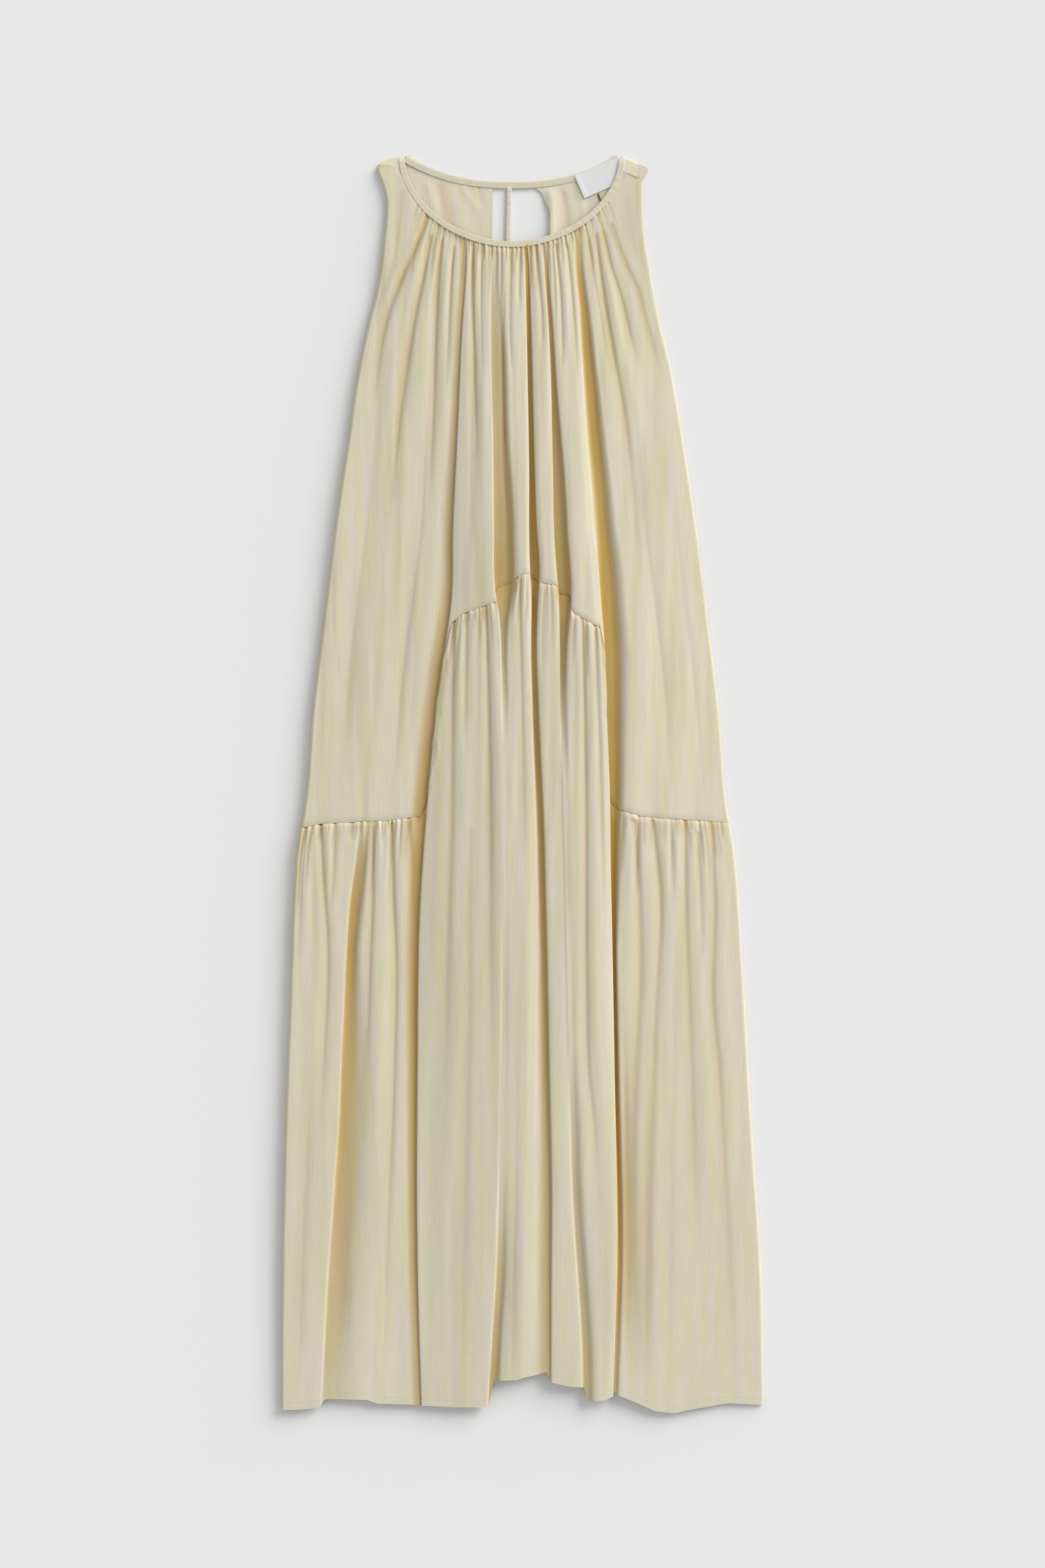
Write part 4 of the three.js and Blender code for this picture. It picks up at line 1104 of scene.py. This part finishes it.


def back_bodice_grid():
    """Rows from the shoulder seam over the fold and down to the tier seam; which cells are cloth."""
    shares = spaced_rows(BACK_BODICE_ROWS, 0.16, 0.04)
    first = back_columns(8.0)
    in_neck = np.abs(first - NECK["x"]) < NECK["half"] - 0.4
    fold = np.where(in_neck, back_neck_down(first), read(SHOULDER_FOLD, first))
    radius = (FOLD_TOP - BACK_LEVEL) / 2
    rows = []
    for i in range(OVER_ROWS):
        t = i / (OVER_ROWS - 1)
        seam = read(SHOULDER_SEAM, first) - SEAM_GAP
        down = seam + (fold + radius - seam) * t
        down = np.where(seam > fold + radius, down, fold + radius)
        level = SHOULDER_SEAM_LEVEL + (FOLD_TOP - SHOULDER_SEAM_LEVEL) * t**1.5
        rows.append(np.stack([first, HALF_LENGTH - down, np.full_like(first, level)], -1))
    for i in range(1, TURN_ROWS):
        angle = math.pi * i / TURN_ROWS
        down = fold + radius - radius * math.sin(angle)
        level = (FOLD_TOP + BACK_LEVEL) / 2 + radius * math.cos(angle)
        rows.append(np.stack([first, HALF_LENGTH - down, np.full_like(first, level)], -1))
    start = fold + np.where(in_neck, 0, radius)
    for share in shares:
        down = start + (BACK_SEAM_DOWN - SEAM_GAP - start) * share
        x = np.array([back_columns(float(d))[j] for j, d in enumerate(down)])
        z = back_height(x, down, BACK_ROWS)
        near_fold = np.exp(-((down - start) / 5) ** 2) * ~in_neck
        z = z + (BACK_LEVEL - z) * near_fold
        rows.append(np.stack([x, HALF_LENGTH - down, z], -1))
    grid = np.array(rows)
    cells = np.ones((grid.shape[0] - 1, grid.shape[1] - 1), bool)
    neck_cells = in_neck[:-1] | in_neck[1:]
    cells[: OVER_ROWS + TURN_ROWS - 1, neck_cells] = False
    left = sum(BACK_COLUMNS[:2])
    hole = slice(left, left + BACK_COLUMNS[2])
    below = HALF_LENGTH - grid[1:, left, 1]
    cells[:, hole][below < KEYHOLE_ROUND[1]] = False
    return grid, cells


def face_down_wall(name, grid, rows, painted_shade, cells=None):
    """A wall whose outer face looks down at the floor: the columns are turned to run right to left."""
    grid = grid[:, ::-1]
    cells = None if cells is None else cells[:, ::-1]
    inner = grid - grid_normals(grid) * BACK_WALL_MM
    inner[..., 2] = np.maximum(inner[..., 2], BACK_LEVEL)
    down = HALF_LENGTH - grid[..., 1]
    # painted shade along the back's creases and gathers
    soft = np.clip(painted_shade * sunk_by(rows, grid[..., 0], down, LONG_CORE), 0, 1)
    return wall_object(name, grid, inner, grain(grid), {"painted_fold_shade": soft}, cells)


back_grid, back_cells = back_bodice_grid()
back_bodice = face_down_wall("back_bodice_cloth", back_grid, BACK_CREASES, BACK_FOLD_SHADE, back_cells)

# %% Back of the tier
BACK_TIER_ROW_COUNT, BACK_TIER_COLUMNS = 84, 150
HEM_WIDTH_AT = 1290.0
BACK_INSET = 0.4
hem_x = flat_x(ACROSS, hems)


def back_tier_grid():
    shares = spaced_rows(BACK_TIER_ROW_COUNT, 0.1, 0.03)
    across = np.linspace(0, 1, BACK_TIER_COLUMNS + 1)
    low_left, low_right = float(line("left", HEM_WIDTH_AT)), float(line("right", HEM_WIDTH_AT))
    bottom = np.interp(low_left + (low_right - low_left) * across, hem_x, hems) - BACK_HEM_SHORT
    rows = []
    for share in shares:
        down = BACK_SEAM_DOWN + SEAM_GAP + (bottom - BACK_SEAM_DOWN - SEAM_GAP) * share
        left, right = line("left", down) + BACK_INSET, line("right", down) - BACK_INSET
        x = left + (right - left) * across
        rows.append(np.stack([x, HALF_LENGTH - down, back_height(x, down, BACK_TIER_ROWS)], -1))
    return np.array(rows)


back_tier_points = back_tier_grid()
back_tier = face_down_wall("back_tier_cloth", back_tier_points, BACK_TIER_ROWS, BACK_TIER_FOLD_SHADE)
stand_for(back_bodice, "back_bodice", inside_crepe)
stand_for(back_tier, "back_skirt", inside_crepe)

# %% [markdown]
# ## The bindings and the tie
# A binding is a bias strip folded over the raw edge and stitched down. Here it is a flattened tube swept
# along the neck, with a shallow groove where the stitches pull it in, and a slightly uneven height because
# the gathers push against it. A curve with a bevel would sweep it too, but couldn't carry the groove.


# %% Sweeping a flattened tube
def tube_object(name, path, half_width, half_thick, groove=None, uneven=0.0, points_around=24, flatness=0.75):
    """A closed tube along a path in millimetres, flat side down, with its width level with the floor."""
    path = np.asarray(path, float)
    along = np.concatenate([[0], np.cumsum(np.linalg.norm(np.diff(path, axis=0), axis=1))])
    tangent = np.gradient(path, axis=0)
    tangent /= np.linalg.norm(tangent, axis=1, keepdims=True)
    side = np.cross(tangent, [0, 0, 1.0])
    side /= np.linalg.norm(side, axis=1, keepdims=True)
    up = np.cross(side, tangent)
    angle = np.linspace(0, 2 * math.pi, points_around, endpoint=False)
    across = np.sign(np.cos(angle)) * np.abs(np.cos(angle)) ** 0.55
    rise = np.sign(np.sin(angle)) * np.abs(np.sin(angle)) ** flatness
    rings = []
    for i, centre in enumerate(path):
        bumpy = 1 + uneven * float(waves(np.array([along[i]]), np.array([0.0]), 2.3, 9, 21)[0])
        from_end = min(i, len(path) - 1 - i)
        end = min(1.0, 0.25 + 0.75 * math.sqrt(from_end / 4)) if from_end < 4 else 1.0
        lift = rise * half_thick * bumpy
        if groove is not None:
            lift = lift - (rise > 0) * groove[1] * np.exp(-(((across * half_width - groove[0]) / 0.45) ** 2))
        out = across * half_width * end
        rings.append(centre + side[i] * out[:, None] + up[i] * (lift * end)[:, None])
    rings = np.array(rings)
    count, around = rings.shape[:2]
    index = np.arange(count * around).reshape(count, around)
    ahead = np.roll(index, -1, axis=1)
    quads = np.stack([index[:-1], index[1:], ahead[1:], ahead[:-1]], -1).reshape(-1, 4).tolist()
    mesh = bpy.data.meshes.new(name)
    ends = [index[0].tolist(), index[-1][::-1].tolist()]
    mesh.from_pydata((rings.reshape(-1, 3) * MM).tolist(), [], quads + ends)
    u = np.repeat(along, around) * MM
    v = np.tile(np.arange(around) / around * 2 * (2 * half_width + half_thick), count) * MM
    write_grain(mesh, v, u)
    solid = bmesh.new()
    solid.from_mesh(mesh)
    bmesh.ops.recalc_face_normals(solid, faces=solid.faces)
    solid.to_mesh(mesh)
    solid.free()
    mesh.shade_smooth()
    made = in_scene(name, mesh)
    print(f"{name}: {along[-1]:.0f} mm long, {len(quads) * 2} triangles")
    return made


# %% Neck bindings
BINDING_THICK_HALF = 0.55
FRONT_STITCH_FROM_MIDDLE, BACK_STITCH_FROM_MIDDLE = 0.6, 1.9


def front_binding_path(steps=460):
    angle = np.linspace(math.pi, 0, steps)
    power = 2 / NECK["power"]
    x = NECK["x"] + NECK["half"] * np.sign(np.cos(angle)) * np.abs(np.cos(angle)) ** power
    down = NECK["deep"] * np.abs(np.sin(angle)) ** power + 1.2
    z = neck_level(x) + 0.35
    end = ease(down / 8)
    return np.stack([x, HALF_LENGTH - down, 2.3 + (z - 2.3) * end], -1)


def back_binding_path(steps=330):
    t = np.sin(np.linspace(-math.pi / 2, math.pi / 2, steps))
    x = NECK["x"] + 110.5 * t
    down = BACK_NECK["deep"] * (1 - np.abs(t) ** BACK_NECK["power"]) + 3.3
    z = 1.75 + 0.5 * np.abs(t) ** 8
    return np.stack([x, HALF_LENGTH - down, z], -1)


front_path, back_path = front_binding_path(), back_binding_path()
front_binding = tube_object("front_neck_binding_cloth", front_path, BINDING_HALF, BINDING_THICK_HALF,
                            groove=(FRONT_STITCH_FROM_MIDDLE, 0.3), uneven=0.2, flatness=0.35)
back_binding = tube_object("back_neck_binding_cloth", back_path, 3.4, 0.6,
                           groove=(BACK_STITCH_FROM_MIDDLE, 0.3), uneven=0.12, flatness=0.4)

# %% The tie strip, and what the bindings stand for
TIE_X = -14.4
tie_steps = np.linspace(31, 101, 90)
tie_path = np.stack([TIE_X + 0.5 * np.sin(tie_steps / 19), HALF_LENGTH - tie_steps, 1.55 + 0 * tie_steps], -1)
tie = tube_object("neck_tie_strip", tie_path, 2.7, 1.25, uneven=0.1)
stand_for(front_binding, "front_neck_binding", binding_crepe)
stand_for(back_binding, "back_neck_binding", binding_crepe)
stand_for(tie, "neck_tie", binding_crepe)

# %% [markdown]
# ## The label
# A woven satin label is sewn inside the back neck. It is left blank. Its short ends are turned under, so
# they are a little thicker, and a slim dark size tab peeps out below it.


# %% Label and size tab
def plate_object(name, centre, long, high, thick, turn, folded=0.0, curl=0.0, steps=(44, 20)):
    """A thin turned rectangle with rounded turned-under ends, in millimetres."""
    u = np.linspace(-0.5, 0.5, steps[0] + 1)
    v = np.linspace(0.5, -0.5, steps[1] + 1)
    a, b = np.meshgrid(u * long, v * high)
    end = np.clip((np.abs(a) - (long / 2 - 4)) / 0.6, 0, 1)
    lift = folded * ease(end) + curl * (a / long) ** 2 * 4 * (0.5 + b / high)
    x = centre[0] + a * math.cos(turn) - b * math.sin(turn)
    y = centre[1] + a * math.sin(turn) + b * math.cos(turn)
    outer = np.stack([x, y, centre[2] + thick + lift], -1)
    inner = np.stack([x, y, centre[2] + lift * 0.3], -1)
    return wall_object(name, outer, inner, (a * MM, b * MM))


LABEL_TURN = 0.41
label = plate_object("neck_label_satin", (82, HALF_LENGTH - 22.6, 2.55), 50, 25, 0.3, LABEL_TURN, 0.25, 0.3)
size_tab = plate_object("size_tab_satin", (79.4, HALF_LENGTH - 43, 1.9), 1.7, 7.6, 0.4, 0.32, steps=(4, 10))


SATIN_RIBS = 900


def satin_material(name, tone):
    """Woven satin: fine ribs across the label and a soft shine."""
    material = plain_material(name, tone, 0.5)
    tree = material.node_tree
    shader = tree.nodes["Principled BSDF"]
    uv = add_node(tree, "ShaderNodeUVMap", {"uv_map": "grain"}).outputs["UV"]
    ribs = add_node(tree, "ShaderNodeTexWave", {"bands_direction": "Y"}, Vector=uv, Scale=SATIN_RIBS,
                    Distortion=0.6)
    rise = add_node(tree, "ShaderNodeBump", Strength=0.25, Distance=0.0002, Height=ribs.outputs["Fac"])
    tree.links.new(rise.outputs[0], shader.inputs["Normal"])
    return material


stand_for(label, "neck_label", satin_material("label_white", (0.80, 0.80, 0.80)))
stand_for(size_tab, "size_tab", satin_material("tab_charcoal", (0.10, 0.075, 0.06)))

# %% [markdown]
# ## The cut of the cloth
# Each panel is listed with the width and length of its flat cut. Its printed widths and area follow the
# folded cloth, and the listed width and length are chosen near them. The area of the back bodice counts the
# keyhole and the part of its grid above the neck, which aren't cloth. A real cut for a gathered edge is
# fuller still, because the turns of the deepest folds lie hidden under the flaps.


# %% Flat sizes
def unfolded(grid):
    """Widths at the top, the middle and the bottom, the longest column and the area, in metres."""
    across = np.linalg.norm(np.diff(grid, axis=1), axis=-1).sum(axis=1)
    down = np.linalg.norm(np.diff(grid, axis=0), axis=-1).sum(axis=0)
    edge_a = grid[1:, :-1] - grid[:-1, :-1]
    edge_b = grid[:-1, 1:] - grid[:-1, :-1]
    area = np.linalg.norm(np.cross(edge_a, edge_b), axis=-1).sum()
    widths = [across[len(across) * share // 10] * MM for share in (1, 5, 9)]
    return widths, down.max() * MM, area * MM * MM


SHEETS = [  # piece, its grid, width and length of the flat cut, what it lies on, what is sewn to it
    (back_bodice, back_grid, (0.45, 0.72), floor, [back_binding, tie, label, size_tab]),
    (back_tier, back_tier_points, (0.54, 0.605), floor, []),
    (bodice, bodice_grid, (0.52, 0.69), back_bodice, [front_binding]),
    (tier_middle, middle_grid, (0.50, 0.86), back_tier, []),
    (tier_right, right_grid, (0.22, 0.81), back_tier, []),
]
for piece, grid, flat, below, sewn_on in SHEETS:
    widths, length, area = unfolded(grid)
    print(f"{piece.name}: {[round(w, 3) for w in widths]} x {length:.3f} m, {area:.4f} square metres")

# %% [markdown]
# ## The stitches
# Hundreds of stitches lie along the hem, the armholes, the keyhole and the bindings. One Geometry Nodes tree
# walks a line at an even step and sets a slim bead of thread at each step, turned along the line. The lines
# are laid on the cloth first by casting rays down onto the finished panels.

# %% The stitching tree
STITCH = {"Step": 0.0027, "Stitch length": 0.0019, "Thread width": 0.00036}


def stitch_tree(thread):
    tree = bpy.data.node_groups.new("row_of_stitches", "GeometryNodeTree")
    tree.interface.new_socket(name="Lines", in_out="INPUT", socket_type="NodeSocketGeometry")
    for key, metres in STITCH.items():
        socket = tree.interface.new_socket(name=key, in_out="INPUT", socket_type="NodeSocketFloat")
        socket.default_value = metres
    tree.interface.new_socket(name="Stitches", in_out="OUTPUT", socket_type="NodeSocketGeometry")
    given, result = tree.nodes.new("NodeGroupInput"), tree.nodes.new("NodeGroupOutput")
    curve = add_node(tree, "GeometryNodeMeshToCurve", Mesh=given.outputs["Lines"])
    points = add_node(tree, "GeometryNodeCurveToPoints", {"mode": "LENGTH"}, Curve=curve.outputs["Curve"],
                      Length=given.outputs["Step"])
    bead = add_node(tree, "GeometryNodeMeshUVSphere", Segments=6, Rings=4, Radius=0.5)
    size = add_node(tree, "ShaderNodeCombineXYZ", X=given.outputs["Thread width"],
                    Y=given.outputs["Thread width"], Z=given.outputs["Stitch length"])
    placed = add_node(tree, "GeometryNodeInstanceOnPoints", Points=points.outputs["Points"],
                      Instance=bead.outputs["Mesh"], Rotation=points.outputs["Rotation"],
                      Scale=size.outputs[0])
    real = add_node(tree, "GeometryNodeRealizeInstances", Geometry=placed.outputs[0])
    coloured = add_node(tree, "GeometryNodeSetMaterial", Geometry=real.outputs[0], Material=thread)
    tree.links.new(coloured.outputs[0], result.inputs["Stitches"])
    return tree


# The thread is darker than the cloth: painted shade along the stitch lines.
STITCHES = stitch_tree(plain_material("thread_with_painted_stitch_shade", (0.50, 0.44, 0.28), 0.7))


# %% Lines laid on the cloth
def drop_onto(piece, xs, downs, from_above=True, sunk=0.05):
    """Points of a line on the cloth of a piece, in metres; a place with no cloth is left out."""
    points = []
    up = 1 if from_above else -1
    for x, down in zip(xs, downs):
        start = (x * MM, (HALF_LENGTH - down) * MM, up * 0.08)
        hit, place, _, _ = piece.ray_cast(start, (0, 0, -up))
        if hit:
            points.append((place.x, place.y, place.z - up * sunk * MM))
    return points


def stitch_rows(name, lines):
    """Stitches along several lines, as one plain mesh."""
    points, edges = [], []
    for run in lines:
        base = len(points)
        points += run
        edges += [(base + i, base + i + 1) for i in range(len(run) - 1)]
    mesh = bpy.data.meshes.new(name + "_lines")
    mesh.from_pydata(points, edges, [])
    rows = in_scene(name, mesh)
    modifier = rows.modifiers.new("stitches", "NODES")
    modifier.node_group = STITCHES
    named = {item.name: item.identifier for item in STITCHES.interface.items_tree if item.in_out == "INPUT"}
    for key, metres in STITCH.items():
        modifier[named[key]] = metres
    evaluated = rows.evaluated_get(bpy.context.evaluated_depsgraph_get())
    plain = bpy.data.meshes.new_from_object(evaluated)
    rows.modifiers.remove(modifier)
    rows.data = plain
    plain.shade_smooth()
    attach(rows, "root")
    print(f"{name}: {len(plain.polygons)} faces")


# How far each line of stitches lies from the edge or seam beside it, in millimetres.
ARMHOLE_INSET, HEM_INSET, SEAM_INSET, SHOULDER_INSET, KEYHOLE_INSET = 6, 7.0, 1.3, 1.2, 1.8
bpy.context.view_layer.update()
armhole_down = np.arange(24, 212, 1.5)
left_arm = drop_onto(bodice, line("left", armhole_down) + ARMHOLE_INSET, armhole_down)
right_arm = drop_onto(bodice, line("right", armhole_down) - ARMHOLE_INSET, armhole_down)
hem_lines = []
for panel, columns, bottom in ((tier_middle, middle_columns, hems[: cut + 1]),
                               (tier_right, right_columns, hems[cut:])):
    inset = bottom - HEM_INSET
    hem_lines.append(drop_onto(panel, flat_x(columns, inset), inset))
groove_line = []
for path, reach, lift in ((front_path, FRONT_STITCH_FROM_MIDDLE, 0.3),
                          (back_path, BACK_STITCH_FROM_MIDDLE, 0.36)):
    direction = np.gradient(path, axis=0)
    side = np.cross(direction, [0, 0, 1.0])
    side /= np.linalg.norm(side, axis=1, keepdims=True)
    run = path[6:-6] + side[6:-6] * reach + np.array([0, 0, lift])
    groove_line.append([tuple(p * MM) for p in run])
seam_line = drop_onto(bodice, flat_x(ACROSS, seams - SEAM_INSET), seams - SEAM_INSET)
shoulder_lines = []
for low, high in ((-147, -119), (98, 126)):
    xs = np.arange(low, high, 1.0)
    shoulder_lines.append(drop_onto(bodice, xs, read(SHOULDER_SEAM, xs) + SHOULDER_INSET))
keyhole_down = np.arange(38, 96, 1.5)
keyhole_lines = [drop_onto(back_bodice, read(rows, keyhole_down) + outward, keyhole_down)
                 for rows, outward in ((KEYHOLE_LEFT, -KEYHOLE_INSET), (KEYHOLE_RIGHT, KEYHOLE_INSET))]
stitch_rows("front_stitches", [left_arm, right_arm, seam_line, *shoulder_lines, *hem_lines])
stitch_rows("neck_stitches", [*groove_line, *keyhole_lines])
